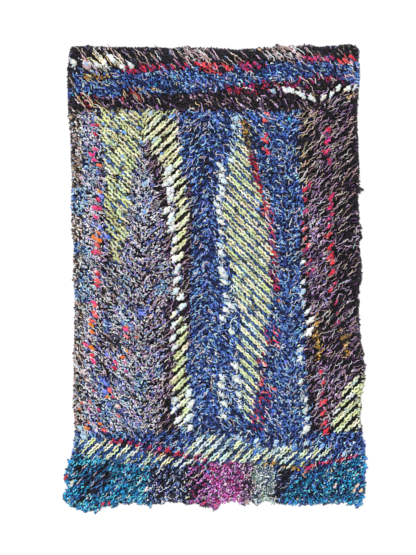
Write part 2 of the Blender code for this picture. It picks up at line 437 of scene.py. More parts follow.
        combed=0.4, rows=0.25, long=0.85, wide=0.92, threads=0.18, thread_width=0.0028, thread_length=0.018,
        crest="sage 28, pale sage 52, slate 2, silver 18",
        gap="black 4, charcoal 14, slate 38, sage 44",
        thread="pale sage 56, sage 26, beige 18",
    ),
    "midnight": palette(
        combed=0.8, rows=0.5, threads=0.28, thread_width=0.0029,
        crest="ink 20, black 10, navy 26, charcoal 8, slate 10, deep blue 14, teal 6, cornflower 6",
        gap="black 60, ink 40",
        thread="lilac 26, silver 30, beige 30, sky 14",
    ),
}

# Where each kind of area lies. Each line is its palette, then rows of: v, its
# left u and its right u. A later area covers an earlier one.
AREAS = (
    ("royal", ((30, 50, 380), (525, 50, 380))),
    # left part of the field
    ("speckle", ((108, 60, 180), (437, 60, 180))),
    ("dim speckle", ((108, 96, 112), (262, 98, 116), (300, 97, 112), (437, 96, 111))),
    ("cool speckle", ((262, 112, 124), (300, 111, 124), (437, 112, 124))),
    ("speckle", ((262, 124, 143), (437, 124, 143))),
    ("dim speckle", ((200, 150, 176), (437, 148, 178))),
    ("cool speckle", ((112, 82, 97), (200, 82, 99), (300, 83, 97), (437, 82, 96))),
    ("taupe edge", ((108, 50, 81), (200, 50, 83), (300, 50, 84), (437, 50, 83))),
    ("blue fleck", ((150, 82, 90), (172, 82, 92))),
    ("blue fleck", ((188, 70, 84), (214, 72, 90))),
    ("blue fleck", ((242, 74, 90), (254, 74, 92))),
    ("blue fleck", ((268, 80, 92), (300, 74, 88))),
    ("pale fleck", ((206, 84, 95), (222, 83, 96), (246, 84, 95))),
    ("pale fleck", ((334, 84, 94), (352, 86, 96), (366, 88, 98))),
    ("pale fleck", ((356, 118, 134), (368, 116, 136), (376, 120, 132))),
    ("iris", ((190, 99, 104), (202, 99, 104))),
    ("iris", ((376, 102, 110), (384, 99, 108), (396, 101, 107))),
    ("blue fleck", ((396, 102, 112), (424, 100, 108))),
    ("dim speckle", ((318, 96, 109), (345, 96, 110))),
    ("murk", ((272, 106, 118), (288, 105, 119), (304, 108, 117))),
    ("murk", ((290, 96, 108), (306, 98, 110))),
    ("murk", ((330, 108, 122), (344, 106, 124), (352, 110, 120))),
    ("blue fleck", ((256, 122, 132), (272, 123, 132), (288, 121, 130))),
    ("iris", ((264, 136, 143), (278, 136, 143))),
    ("iris", ((306, 136, 143), (318, 138, 144))),
    ("blue fleck", ((312, 122, 130), (326, 123, 130))),
    ("iris", ((318, 103, 110), (334, 104, 110))),
    ("blue fleck", ((374, 134, 146), (384, 136, 148), (394, 134, 146))),
    ("blue fleck", ((280, 157, 166), (294, 156, 168))),
    ("blue fleck", ((366, 154, 164), (377, 155, 163))),
    ("blue fleck", ((397, 121, 130), (413, 122, 131))),
    ("blue fleck", ((398, 104, 114), (412, 103, 112), (428, 101, 106))),
    ("cool speckle", ((404, 122, 142), (420, 120, 143), (432, 120, 140))),
    # the arched leaf at the left, its dim middle, and its thin lower end
    ("pale leaf", (
        (110, 104, 172), (116, 98, 175), (128, 95, 177), (136, 101, 177), (150, 103, 180), (162, 104, 180),
        (175, 106, 183), (200, 106, 186), (228, 107, 188), (242, 109, 185), (256, 112, 185),
        (264, 115, 184), (272, 122, 184),
    )),
    ("leaf arm", (
        (118, 148, 175), (128, 147, 177), (136, 146, 177), (150, 148, 180), (162, 152, 180),
        (175, 160, 183), (200, 166, 186), (228, 168, 188), (242, 166, 185), (264, 172, 184),
    )),
    ("speckle", (
        (140, 144, 149), (150, 139, 151), (160, 136, 157), (170, 133, 163), (184, 131, 173),
        (199, 129, 176), (219, 127, 176), (240, 124, 175), (258, 120, 176), (266, 116, 176),
        (276, 104, 178),
    )),
    ("cool speckle", ((170, 138, 150), (190, 134, 152), (215, 132, 150), (222, 136, 148))),
    ("dusk", (
        (144, 146, 149), (156, 146, 156), (170, 150, 164), (190, 158, 168), (225, 164, 170),
        (262, 166, 174),
    )),
    ("dusk", (
        (176, 184, 189), (200, 187, 193), (228, 186, 192), (262, 184, 190), (300, 178, 190),
        (320, 185, 191), (350, 187, 190),
    )),
    ("dusk", ((300, 165, 178), (345, 166, 177), (400, 164, 176), (437, 160, 180))),
    ("leaf arm", (
        (312, 180, 184), (325, 177, 185), (350, 176, 187), (368, 175, 186), (380, 173, 187),
        (392, 177, 187), (412, 180, 188), (427, 183, 186),
    )),
    # blue columns and the leaf between them
    ("cobalt", ((150, 252, 302), (190, 262, 302), (250, 274, 303), (300, 270, 303), (330, 276, 306))),
    ("azure", ((110, 268, 302), (150, 270, 298))),
    ("midnight", ((116, 187, 196), (136, 188, 200), (150, 192, 200))),
    ("midnight", ((158, 196, 207), (182, 198, 210))),
    ("surf", ((322, 276, 303), (346, 276, 300), (400, 272, 304), (432, 262, 306))),
    ("surf", ((316, 200, 216), (350, 194, 220), (380, 194, 236), (420, 196, 232))),
    ("ice", ((114, 230, 240), (136, 230, 241), (150, 228, 240), (166, 227, 232))),
    ("leaf", (
        (134, 240, 244), (146, 236, 247), (158, 230, 249), (173, 228, 252), (184, 227, 257),
        (196, 223, 259), (214, 222, 268), (230, 226, 270), (253, 227, 273), (270, 233, 275),
        (286, 233, 273), (300, 235, 272), (307, 238, 269),
    )),
    ("leaf tail", (
        (307, 238, 269), (318, 241, 266), (330, 239, 272), (348, 237, 268), (359, 236, 264),
        (377, 243, 264), (389, 244, 259), (400, 245, 257), (415, 246, 253), (422, 250, 252),
    )),
    ("azure", ((312, 232, 243), (330, 232, 239), (366, 230, 238), (380, 232, 243))),
    ("ice", ((282, 229, 235), (330, 230, 238))),
    ("frost", (
        (162, 218, 223), (176, 219, 225), (190, 217, 226), (204, 214, 223), (216, 216, 223),
        (224, 219, 223),
    )),
    ("frost", (
        (228, 219, 223), (234, 220, 223), (250, 218, 223), (268, 220, 224), (284, 221, 226),
        (300, 225, 230), (312, 224, 229), (324, 220, 224),
    )),
    ("frost", ((374, 219, 224), (398, 220, 226), (420, 222, 226))),
    ("frost", ((360, 233, 238), (384, 236, 241), (410, 238, 243))),
    ("frost", ((258, 301, 305), (306, 301, 306), (322, 308, 312), (334, 306, 311))),
    ("frost", ((346, 299, 303), (364, 298, 303))),
    ("frost", ((388, 300, 305), (412, 303, 309), (430, 303, 308))),
    ("frost", ((396, 172, 178), (412, 171, 178))),
    ("frost", ((386, 186, 190), (404, 188, 193), (430, 186, 192))),
    ("gold", ((117, 240, 245), (128, 242, 250), (137, 243, 251), (148, 247, 252), (156, 249, 252))),
    ("garnet", (
        (151, 249, 253), (158, 250, 255.5), (167, 252, 257.5), (177, 254, 260), (187, 257, 262.5),
        (196, 259, 263.5),
    )),
    ("coral edge", (
        (200, 262, 270), (213, 260, 272), (225, 266, 274), (234, 266, 275), (248, 270, 276),
        (259, 271, 277), (270, 272, 277),
    )),
    ("rose", ((270, 269, 274), (280, 270, 278), (292, 275, 282))),
    ("coral trace", ((322, 266, 271), (330, 264, 278), (340, 263, 280), (347, 272, 280))),
    ("coral trace", (
        (352, 260, 267), (364, 257, 264), (378, 259, 268), (390, 258, 272), (398, 255, 270),
        (406, 254, 272), (420, 252, 264), (430, 253, 263),
    )),
    # right part of the field
    ("night", (
        (108, 306, 380), (127, 300, 380), (150, 298, 380), (173, 298, 380), (184, 301, 380),
        (207, 305, 380), (270, 305, 380), (308, 309, 380), (331, 313, 380), (343, 311, 380),
        (366, 306, 380), (389, 310, 380), (432, 314, 380),
    )),
    ("violet night", ((216, 300, 380), (240, 300, 380), (432, 310, 380))),
    ("dusk", ((112, 318, 345), (170, 316, 342))),
    ("peach night", ((112, 300, 316), (130, 299, 312), (160, 298, 308), (186, 300, 308))),
    ("dusk", ((180, 312, 334), (240, 308, 332), (300, 311, 334))),
    ("lilac dusk", ((205, 310, 322), (250, 308, 326), (300, 312, 330), (318, 316, 330))),
    ("dusk", ((316, 322, 362), (345, 322, 362))),
    ("lilac dusk", ((360, 312, 326), (395, 314, 344), (428, 316, 336))),
    ("lilac dusk", ((368, 340, 362), (386, 334, 352))),
    ("gold", ((312, 312, 316), (330, 313, 319), (346, 315, 321), (360, 317, 321))),
    ("gold", ((334, 340, 348), (350, 343, 349), (358, 345, 351))),
    ("leaf corner", (
        (374, 358, 370), (380, 353, 370), (390, 345, 370), (400, 340, 370), (412, 336, 370),
        (424, 332, 370), (432, 331, 370),
    )),
    # band under the field, with leaf stripes
    ("royal", ((432, 50, 380), (470, 50, 380))),
    ("azure", ((432, 50, 130), (446, 60, 130))),
    ("leaf band", (
        (436, 74, 84), (442, 72, 122), (447, 72, 132), (452, 76, 150), (457, 96, 165), (461, 126, 194),
        (466, 150, 196),
    )),
    ("leaf bars", (
        (433, 203, 207), (436, 198, 214), (440, 194, 234), (444, 192, 246), (447, 190, 262),
        (450, 188, 334), (455, 184, 332), (458, 192, 328), (461, 220, 324), (465, 276, 304),
    )),
    ("leaf band", ((449, 292, 334), (455, 288, 332), (461, 286, 324), (465, 284, 304))),
    ("wine", (
        (438, 110, 114), (444, 118, 134), (448, 134, 142), (452, 146, 170), (456, 168, 188),
        (459, 196, 204), (460, 206, 214),
    )),
    ("gold", ((462, 262, 272), (466, 276, 298), (470, 296, 302))),
    ("wine", ((455, 350, 362), (459, 338, 354), (462, 322, 340), (466, 306, 320), (471, 303, 310))),
    # the lowest band
    ("lagoon", ((456, 50, 96), (462, 50, 122), (466, 50, 148), (470, 50, 152), (525, 50, 152))),
    ("deep lagoon", ((464, 76, 110), (486, 78, 112), (500, 76, 96))),
    ("storm", ((467, 150, 190), (490, 148, 192), (525, 146, 190))),
    ("violet", ((464, 186, 204), (480, 190, 212), (525, 186, 214))),
    ("fuchsia", ((462, 206, 240), (476, 210, 246), (525, 208, 248))),
    ("heather", ((462, 240, 254), (480, 242, 258), (525, 242, 256))),
    ("lichen", ((464, 254, 272), (478, 252, 276), (490, 254, 276), (525, 250, 278))),
    ("midnight", ((468, 276, 296), (480, 277, 290), (492, 274, 284), (525, 276, 283))),
    ("tide", (
        (456, 356, 380), (462, 344, 380), (468, 322, 380), (474, 300, 380), (484, 290, 380),
        (494, 286, 380), (525, 282, 380),
    )),
    # the upper band
    ("coal", ((30, 50, 380), (67, 50, 380))),
    ("cloud", ((44, 92, 118), (52, 92, 121), (58, 84, 122), (66, 80, 126), (72, 82, 104))),
    ("ash", ((46, 182, 206), (62, 186, 214))),
    ("ash", ((46, 268, 302), (60, 266, 302))),
    ("smoke", ((84, 50, 380), (111, 50, 380))),
    ("azure", ((74, 76, 118), (76, 50, 170), (70, 50, 300), (76, 76, 380))),
    ("azure", (
        (62, 272, 380), (68, 200, 380), (72, 120, 380), (78, 78, 380), (82, 70, 290), (88, 68, 262),
        (94, 70, 160), (98, 70, 104),
    )),
    ("coal", ((60, 50, 74), (90, 50, 74))),
    ("scarlet", ((62, 196, 210), (66, 198, 234), (70, 200, 234), (74, 206, 224))),
    ("crimson edge", ((63, 150, 186), (68, 118, 190), (73, 120, 140))),
    ("wine", ((62, 236, 264), (66, 240, 268), (70, 236, 254))),
    ("wine", ((56, 300, 336), (60, 298, 336))),
    ("scarlet", ((56, 344, 352), (59, 336, 354), (64, 340, 354))),
    ("gold", ((74, 82, 96), (78, 84, 114), (80, 100, 114))),
    ("ember", ((94, 74, 92), (100, 74, 98), (106, 84, 102), (112, 90, 102))),
    ("ember", ((90, 120, 138), (96, 122, 146), (102, 120, 148))),
    ("wine", ((82, 262, 310), (86, 224, 316), (90, 220, 280), (94, 228, 262))),
    ("wine", ((76, 296, 340), (84, 300, 350))),
    ("dusk", ((94, 320, 380), (112, 330, 380))),
)

# Slant of the rows: 1 where they rise to the right, -1 where they fall, and an
# area's rows as above. A later line covers an earlier one.
SLANTS = (
    (-1, ((0, 50, 143.8), (560, 50, 143.8))),
    (1, ((0, 143.8, 208), (560, 143.8, 208))),
    (-1, ((0, 208, 288.8), (560, 208, 288.8))),
    (1, ((0, 288.8, 390), (560, 288.8, 390))),
    (-1, ((0, 50, 390), (110, 50, 390))),
    (1, ((83, 322, 390), (110, 318, 390))),
    (1, ((438.5, 50, 390), (560, 50, 390))),
    (1, ((430, 194, 250), (440, 190, 250))),
)

# The rug's outline: rows of v and u down its left and right sides, then of u
# and v along its upper and lower ends.
LEFT_SIDE = (
    (46.5, 71), (52, 69.8), (59, 69), (68, 68), (104, 68.2), (113, 68.6), (122, 70), (140, 71), (170, 71.5),
    (176, 72.5), (200, 71.6), (209, 70.8), (212, 72.4), (230, 72), (239, 73.8), (266, 73.7), (275, 73.2),
    (293, 75), (338, 74.7), (356, 73.7), (374, 74.3), (401, 73), (419, 75), (437, 75), (446, 74), (455, 72),
    (464, 69), (471, 67), (475, 64.6), (479, 64), (483, 67), (488, 68.3), (492, 66), (497, 63.3), (500, 66),
    (504.4, 68.3), (507.7, 72.5),
)
RIGHT_SIDE = (
    (46.7, 357), (49, 358.7), (59, 358), (68, 359.3), (77, 359.7), (86, 358), (100, 357.5), (113, 356.8),
    (130, 357), (149, 358), (165, 358.6), (172, 359.4), (176, 358.6), (186.5, 358.5), (188, 361),
    (189.4, 363.5), (190.8, 360), (192, 358.4), (196, 357.5), (203, 358), (215, 358.5), (222, 358.8),
    (226.7, 361.7), (230, 359.6), (236.7, 362.2), (241, 359), (250, 358.6), (256, 360), (259.4, 361.2),
    (263, 360.6), (265.5, 362), (268, 360.6), (275, 360.6), (278.3, 361.8), (283, 360.2), (288, 358.6),
    (291, 359.2), (296, 357.8), (301, 359.2), (306, 358.3), (318, 358.6), (333, 359.4), (336, 361.4),
    (340, 359.8), (347, 361.6), (354.4, 364), (358, 362), (366, 365.4), (372, 364), (378, 364.6),
    (385.5, 363), (392, 361), (400, 360), (407, 361.2), (414, 359.6), (422, 360), (428, 361.8),
    (436, 361.6), (440, 363), (446, 365.5), (449, 364), (451.7, 365.2), (455, 364), (457.5, 366),
    (461, 364), (468, 366), (473, 364.3), (480, 364.6), (486, 363.6), (491, 364.6), (496, 362.6),
    (500, 362), (504, 360),
)
UPPER_END = (
    (66, 48), (71.5, 46.5), (79, 46.2), (88, 45.8), (94, 46.7), (104, 47), (122, 47), (139, 47.3),
    (164, 47.6), (172, 48.3), (180, 47.6), (184, 46.4), (187, 46), (191.5, 47.8), (197, 47.7), (207, 47.5),
    (217, 48.5), (227, 49), (239, 49.9), (245, 48.7), (250.7, 49), (256, 48.6), (259.4, 47), (262, 48.8),
    (271, 47.5), (275, 46.3), (277, 44), (279, 45.6), (282, 45.8), (287, 47.4), (291, 45), (295, 46.3),
    (299.5, 45), (303.7, 45.8), (310, 44.6), (318.7, 47), (331, 45.8), (339.5, 45.7), (347.8, 44),
    (353.7, 45), (357, 46.7),
)
LOWER_END = (
    (63.3, 498), (68.3, 504.4), (72.5, 507.7), (77.9, 508), (80, 509), (84.2, 512), (86, 509.5),
    (88.3, 511.4), (92, 510), (96.3, 512), (99.6, 508.5), (100.8, 504.4), (105, 506.4), (107, 504),
    (109, 503), (114.6, 507.4), (117.5, 502), (121, 501.7), (126.7, 503.4), (133, 501.5), (140.8, 504.4),
    (143, 502), (149, 506), (154, 501.6), (160, 503.6), (165, 500.5), (171, 502.2), (180, 501.4),
    (186, 503), (190, 503.4), (196.7, 502.2), (200.8, 504.5), (202.5, 506.6), (205.8, 503), (208.3, 507.4),
    (210.4, 503.2), (214.2, 510.2), (217.5, 507.4), (218.5, 502.4), (223, 501.8), (232.5, 500.7),
    (235.8, 499.3), (245, 504.2), (248, 500.3), (251.7, 499), (255.8, 504.6), (259, 502.4), (262, 500),
    (267, 500.8), (273.7, 502.7), (277, 501.5), (283.7, 504), (288, 502.6), (292, 504), (297, 502),
    (302, 504.4), (308.7, 503), (315, 504), (320, 502.6), (326, 504), (332, 501.8), (338, 503.8),
    (345, 501.8), (351, 505), (353.7, 502.4), (357.8, 507.2), (359.5, 503), (362, 501.7),
)

# Puffs: colour, kind, size in pixels, then their places.
PUFFS = (
    ("white", "clump", 8.8, (
        (169, 170), (171, 180), (165.5, 183), (169.5, 191), (171, 199), (167, 210), (171.5, 221),
        (309.5, 331.5),
    )),
    ("white", "clump", 7.4, (
        (171.7, 215), (171.3, 229), (175, 240), (174, 250), (175, 259), (177, 269), (177, 280), (176, 291),
        (181, 297), (183, 306), (174, 314), (174, 325), (173, 338), (175, 347), (189, 393), (175, 400),
        (174, 410), (191, 404), (177, 420), (188, 418), (190, 428), (310.5, 320), (306, 429.5), (312, 98.5),
    )),
    ("white", "clump", 6.3, (
        (220, 166), (222.5, 169), (222, 176), (224, 181), (222, 188), (222.5, 194), (219, 199), (217, 205),
        (219, 212), (221, 222), (221, 232), (220, 245), (221, 253), (222, 270), (224, 275), (225, 282),
        (226, 296), (230, 305), (226, 310), (222, 318), (232, 332), (222, 377), (235, 366), (238, 381),
        (221, 386), (239, 395), (222, 395), (224, 404), (240, 407), (224, 417), (301, 350), (306, 410),
        (307.5, 311), (299.7, 359),
    )),
    ("white", "clump", 5.0, ((303, 262), (302.7, 282), (300.5, 381.7), (306, 400))),
    ("ice", "clump", 5.4, ((303, 292), (303.5, 303), (308, 418.5))),
    ("white", "clump", 6.3, (
        (286, 90), (291.5, 90.5), (299, 93), (302.5, 96), (323, 97.5), (331.5, 94), (338, 88.5), (348, 89),
        (355, 87), (72, 483),
    )),
    ("white", "tailed", 8.0, ((74, 62.5), (112.3, 59), (131.2, 65.8))),
    ("silver", "tailed", 8.4, ((87, 65.5),)),
    ("cream", "tailed", 7.6, ((97.3, 65.5), (104, 63), (122.3, 67))),
    ("ice", "clump", 5.6, (
        (283, 447), (294, 447), (276, 443), (256, 441), (238, 437), (307, 443), (236, 118), (234, 127),
        (233, 150), (231, 160), (84, 433), (344, 454), (322, 447), (273, 91), (150.8, 113.5), (155, 140),
    )),
    ("sky", "clump", 6.0, ((84, 437), (145.5, 183), (145, 212), (81, 428))),
    ("cornflower", "blob", 4.8, (
        (103.3, 124), (122.5, 119), (124, 133), (138, 128), (141.5, 142), (104, 145), (122.5, 157),
        (108, 161), (123, 174), (127.5, 198), (170, 116), (173.5, 116), (161.7, 154), (118, 186),
        (257.5, 208.5),
    )),
    ("periwinkle", "blob", 6.0, (
        (101, 196), (101, 228), (107, 236), (106, 384), (105, 391), (107, 354), (141, 312), (109, 404),
        (103, 380),
    )),
    ("crimson", "blob", 5.6, (
        (66, 478), (97, 125), (93, 252), (95, 134), (98, 275), (96.3, 286), (113.7, 368),
    )),
    ("crimson", "rag", 5.0, (
        (126, 70), (131, 71.5), (137, 71), (144, 68), (154, 67), (163, 65.5), (172, 66.5), (179, 64.5),
        (187, 65), (302, 223), (305, 200), (336.3, 302.5), (337.7, 312.5), (338, 321), (320.5, 371.7),
        (322.2, 394), (334.7, 283.3), (331, 290), (266, 134),
    )),
    ("red", "rag", 7.0, (
        (323, 382.5), (323, 402), (323, 412.5), (324, 423), (325.5, 431.5), (329, 235), (331, 246),
        (330, 255.8), (332.7, 262.5), (331.7, 272.5), (345, 61), (352, 57.5), (340, 62), (216, 66),
        (227, 68), (205, 66), (198, 64), (265, 140), (266, 151),
    )),
    ("coral", "blob", 6.0, (
        (97, 245), (98, 252), (96, 271), (95.3, 306), (94.2, 312.5), (95.8, 316), (91.7, 321), (267, 114),
        (265, 120), (92.5, 355), (109.5, 390.3), (104.2, 430.5), (126.2, 336.3), (97, 281),
    )),
    ("coral", "blob", 4.0, (
        (93.8, 391), (89.7, 402), (81.7, 402.5), (117.5, 406), (118.7, 416), (113, 397),
    )),
    ("coral", "rag", 5.6, (
        (305, 229), (305, 238), (308, 246), (273, 388), (264, 364), (261, 384), (275, 333), (278, 346),
    )),
    ("crimson", "rag", 3.8, (
        (264, 354), (259, 363), (266, 378), (263, 398), (270, 396), (257, 410), (263, 418),
    )),
    ("orange", "blob", 5.8, (
        (99, 165), (99, 191), (98, 233), (94, 238), (99, 240), (91.3, 325), (91.7, 332), (91.7, 347.5),
        (127.2, 351.3), (122.5, 357.2), (107.5, 396.7), (86.7, 428.3),
    )),
    ("orange", "blob", 4.0, ((79.2, 409), (89.2, 422.5), (100, 423.5), (126.7, 326.5), (136.7, 337.5))),
    ("orange", "rag", 4.2, ((279, 301), (305, 472))),
    ("pink", "blob", 6.4, (
        (95, 149), (91, 155), (94, 160), (98, 200), (95, 208), (99, 208), (97, 252), (94.2, 303),
        (85.8, 344.7), (125.5, 328.5), (115.8, 362.5), (93.3, 361), (96, 217),
    )),
    ("pink", "blob", 4.0, ((125.8, 371), (99.2, 410), (88.7, 409), (125, 362), (93, 125))),
    ("magenta", "rag", 7.6, (
        (308, 186), (304, 192), (305, 212), (306, 249), (309, 262), (311, 273), (327, 131), (328, 141),
        (327, 152), (330, 161), (331, 197), (330, 208), (330, 217), (330, 225), (250, 66), (257, 64),
        (243, 67),
    )),
    ("magenta", "rag", 5.0, (
        (305, 57.5), (310, 58.5), (315, 59.5), (320, 60), (327, 59.5), (332, 58), (112, 441), (120, 441.5),
        (128.5, 442.5), (159.5, 449), (168, 449.5), (186, 456), (197, 456), (205, 459),
    )),
    ("crimson", "rag", 5.6, ((120, 442), (138, 445), (150, 447), (177, 454), (167.5, 450))),
    ("pink", "rag", 3.9, ((308, 468), (323, 463), (331, 462), (343, 459), (350, 457), (356, 456))),
    ("coral", "rag", 3.9, ((312, 465), (306, 470), (327, 462), (354, 457))),
    ("red", "rag", 5.0, ((204, 503), (109, 503), (103, 504))),
    ("gold", "rag", 4.8, (
        (88, 77), (100, 78), (108, 76), (266, 464), (274, 464), (283, 467), (294, 468), (304, 473),
        (140, 89), (153, 89), (350, 97), (315, 317), (315, 325), (315, 335), (318, 343.5), (319, 353),
        (340.5, 330), (344, 337), (345.5, 346), (349, 353.5),
    )),
    ("gold", "blob", 3.8, ((259.5, 49.5), (72, 117))),
    ("beige", "blob", 5.2, (
        (357, 486), (361, 491), (335, 486), (354, 491), (146, 489), (83, 372), (87, 380),
    )),
)

# The kinds of rag. step, lines, off_line: the step between their places along
# a row, the lines across it on which they lie, and how far they stray from
# these, as shares of the rows' pitch. inset: how far inside the outline they
# begin, in pixels. relief: how much of the rows' relief they follow at least,
# and what rows add. turn: how far they turn out of their row when fully
# combed, and what less combing adds. spreads: of length, width and thickness.
# bend, colour_spread: spreads of their bend and lightness. rise, taper, shade: height, width and painted
# shade from end to end, the colour darkened towards the ends that sink into the pile. rise_spread,
# width_spread: how these vary. sway, wave, bob: waves sideways and up and down, and their length.
CRUMB = {
    "step": 0.0078, "lines": (-0.375, -0.125, 0.125, 0.375), "off_line": 0.06, "inset": 1.8,
    "relief": (0.1, 0.9), "turn": (0.30, 1.3), "spreads": (0.2, 0.18, 0.18), "bend": 0.0026,
    "colour_spread": 0.42,
    "rise": (-0.0070, -0.0004, 0.0010, -0.0060),
    "taper": (0.0, 1.0, 0.92, 0.0),
    "shade": (0.30, 0.92, 1.00, 0.42),
    "rise_spread": 0.0012, "width_spread": 0.16, "sway": 0.0006, "wave": 0.012, "bob": 0.0,
}
STRAND = {
    "step": 0.0368, "off_line": 0.02, "inset": 4,
    "relief": (0.5, 0.0), "spreads": (0.12, 0.12, 0.1), "bend": 0.0008,
    "colour_spread": 0.1,
    "rise": (-0.0060, 0.0006, 0.0016, 0.0018, 0.0018, 0.0018, 0.0018, 0.0018, 0.0016, 0.0006, -0.0060),
    "taper": (0.0, 0.85, 1.0, 1.0, 1.0, 1.0, 1.0, 1.0, 1.0, 0.85, 0.0),
    "shade": (0.40, 0.95, 1.0, 1.0, 1.0, 1.0, 1.0, 1.0, 1.0, 0.95, 0.40),
    "rise_spread": 0.0005, "width_spread": 0.18, "sway": 0.0024, "wave": 0.019, "bob": 0.0011,
}
THREAD = {
    "step": 0.021, "lines": (-0.25, 0.02, 0.28), "off_line": 0.08, "inset": 2.5,
    "relief": (0.1, 0.7), "turn": (0.15, 0.9), "spreads": (0.22, 0.16, 0.1), "bend": 0.0032,
    "colour_spread": 0.30,
    "rise": (-0.0060, 0.0012, 0.0022, 0.0026, 0.0026, 0.0026, 0.0024, 0.0010, -0.0060),
    "taper": (0.0, 0.9, 1.0, 1.05, 1.05, 1.0, 1.0, 0.85, 0.0),
    "shade": (0.40, 0.95, 1.0, 1.0, 1.0, 1.0, 1.0, 0.92, 0.45),
    "rise_spread": 0.0005, "width_spread": 0.14, "sway": 0.0018, "wave": 0.019, "bob": 0.0008,
}
PUFF = {
    "rise": (-0.0050, 0.0000, 0.0010, 0.0010, 0.0000, -0.0050),
    "taper": (0.0, 0.80, 1.0, 0.96, 0.74, 0.0),
    "shade": (0.45, 0.90, 1.00, 1.00, 0.90, 0.45),
    "rise_spread": 0.0004, "width_spread": 0.08, "sway": 0.0004, "wave": 0.020, "bob": 0.0,
}
WAVE_SPREAD = 0.15

# Sizes of a crumb, the share that lies low on a crest and what a gap adds, how
# far low ones and those under strands lie below the others, the spread of
# their height, and the share of fully combed ones that share their colour.
CRUMB_LENGTH = 0.0145
CRUMB_WIDTH = 0.0064
CRUMB_THICKNESS = 0.0050
CREST_LOW = 0.12
GAP_LOW = 0.85
LOW_DROP = 0.0010
UNDER_STRANDS = 0.0014
CRUMB_Z_SPREAD = 0.0011
STREAK_SHARE = 0.75

# Where the gap beside a crest begins, as a share of the pitch, and over what
# share it deepens. The last two tell rows of strands, and their gaps.
GAP_START = 0.17
GAP_BLEND = 0.16
STRAND_ROWS = 0.9
STRAND_GAP = 0.27

# Strands and threads: length, height over the pile, the black strands' share of the width, and how thick
# they are for their width. The black strands are painted shadow beside the pale ones.
STRAND_LENGTH = 0.046
STRAND_LIFT = 0.0006
SHADOW_STRAND_LIFT = -0.0008
SHADOW_STRAND_NARROW = 0.45
STRAND_THICK = 0.8
THREAD_LIFT = 0.0004
THREAD_THICK = 0.85

# The rows: their numbers, how far along them places go in metres, how much the
# steps between places vary, and the number of streaks of one colour in a row.
ROW_NUMBERS = np.arange(-90, 91)
ROW_ENDS = (-2.4, 3.6)
STEP_SPREAD = 0.25
STREAKS = 400

# How many steps of a row share a colour, how much colours vary in lightness and
# in tint, and how ragged the areas' borders are, in pixels. Below
# LOWEST_BAND_V the factor after it makes them more ragged.
STREAK = 3.4
COLOUR_SPREAD = 0.24
TINT_SPREAD = 0.06
EDGE_BLUR = 1.0
STRAND_BLUR = 0.3
SLANT_BLUR = 0.5
LOWEST_BAND_V = 474
LOWEST_BAND_BLUR = 1.4

# Light and dark patches: their size along and across the rows in pixels, what
# keeps the grid's places above zero, the grid, and how strong they are.
PATCH_SIZE = (16.0, 5.0)
PATCH_SHIFT = 600
PATCH_GRID = (80, 260)
PATCH_SPREAD = 0.30

# The dark bed: its columns and rows, its depth under the face, its lowest places, the face's height that it
# needs, its gap above the ground, and how its colours vary and darken. The bed, in the gap colours darkened
# by BED_SHADE, is painted shade in the hollows between the rags.
BED_COLUMNS = np.arange(-1, 56)
BED_ROWS = np.arange(-2, 88)
BED_DEPTH = 0.0065
BED_LOWEST = 0.0050
BED_RIM = 0.0095
BED_GAP = 0.0002
BED_COLOUR_SPREAD = 0.1
BED_SHADE = 0.8

# The ground: its thickness, its columns and rows, how far it stays inside the
# outline, and the box that rounds of fitting bring to it: its left u, upper v,
# width and length.
GROUND_THICKNESS = 0.0030
GROUND_COLUMNS = 48
GROUND_ROWS = 76
GROUND_INSET = 1.0
GROUND_BOX = (LEFT_U - 4, 46, 290, 456)
GROUND_ROUNDS = 3

# The shifts along a side, in pixels, among which its most inward place is taken.
NEARBY = range(-8, 9, 2)

# The lowest that the middle of a rag, of a rim rag and of a puff may lie.
RAG_LOWEST = 0.0035
RIM_LOWEST = 0.0026
PUFF_LOWEST = 0.012

# How the crests' height is found: steps of spreading the highest places, then
# of evening out. Then the pile's height at the rim, from where and over what it
# rises, in pixels, and how steeply.
CROWN_SPREAD = 4
CROWN_SMOOTH = 3
RIM_PILE = 0.0095
RIM_INSET = 1
RIM_BLEND = 5
RIM_RISE = 0.6

# Where the rays start, and what keeps a place inside a grid's last cell.
RAY_HEIGHT = 1.0
GRID_EDGE = 1.001

# The rim: layers of rag ends with their height, length inward, width and how far they reach past the
# outline, in pixels. Then the ends' shape along their length, with painted shade that darkens them most at
# the inner end under the pile, how far inward their colours are read, and how they vary. In the pairs the
# second number is what the shaggy lower end adds. Loose ends reach further out than the others.
RIM_STEP = 0.0046
RIM_STEP_SPREAD = 0.4
RIM_LAYERS = (
    (0.0120, 0.014, 0.0062, -0.4),
    (0.0085, 0.012, 0.0066, 0.4),
    (0.0055, 0.010, 0.0062, 0.7),
)
RIM_SHARES = np.array((0.0, 0.38, 0.7, 0.92, 1.0))
RIM_DROP = np.array((-0.0040, 0.0004, 0.0, -0.0022, -0.0042))
RIM_TAPER = np.array((0.0, 1.0, 1.0, 0.85, 0.0))
RIM_SHADE = np.array((0.5, 0.9, 1.0, 0.95, 0.8))
RIM_INLAND = 0.012
RIM_REACH_SPREAD = (0.4, 0.48)
RIM_TURN = (0.3, 0.3)
RIM_LONGER = (1, 0.6)
RIM_LOW = 0.3
RIM_THICK = 0.75
RIM_LENGTH_SPREAD = 0.15
RIM_WIDTH_SPREAD = 0.18
RIM_TAPER_SPREAD = 0.12
RIM_Z_SPREAD = 0.0006
LOOSE_SHARE = (0.06, 0.14)
LOOSE_REACH = (0.4, 1.6, 1.2)
SHAGGY_V = 440
SHAGGY_BLEND = 30
SHAGGY_CORNER_U = 120
SHAGGY_CORNER_TURN = 0.4

# The stretch of each side that the rim follows, so that no corner comes twice.
RIM_LEFT = (48, 505)
RIM_LOWER = (70, 361)
RIM_RIGHT = (48, 503)
RIM_UPPER = (70, 357)

# The baking map: the free edge of each tube's cell and the rest of it.
CELL_EDGE = 0.06
CELL_REST = 0.88

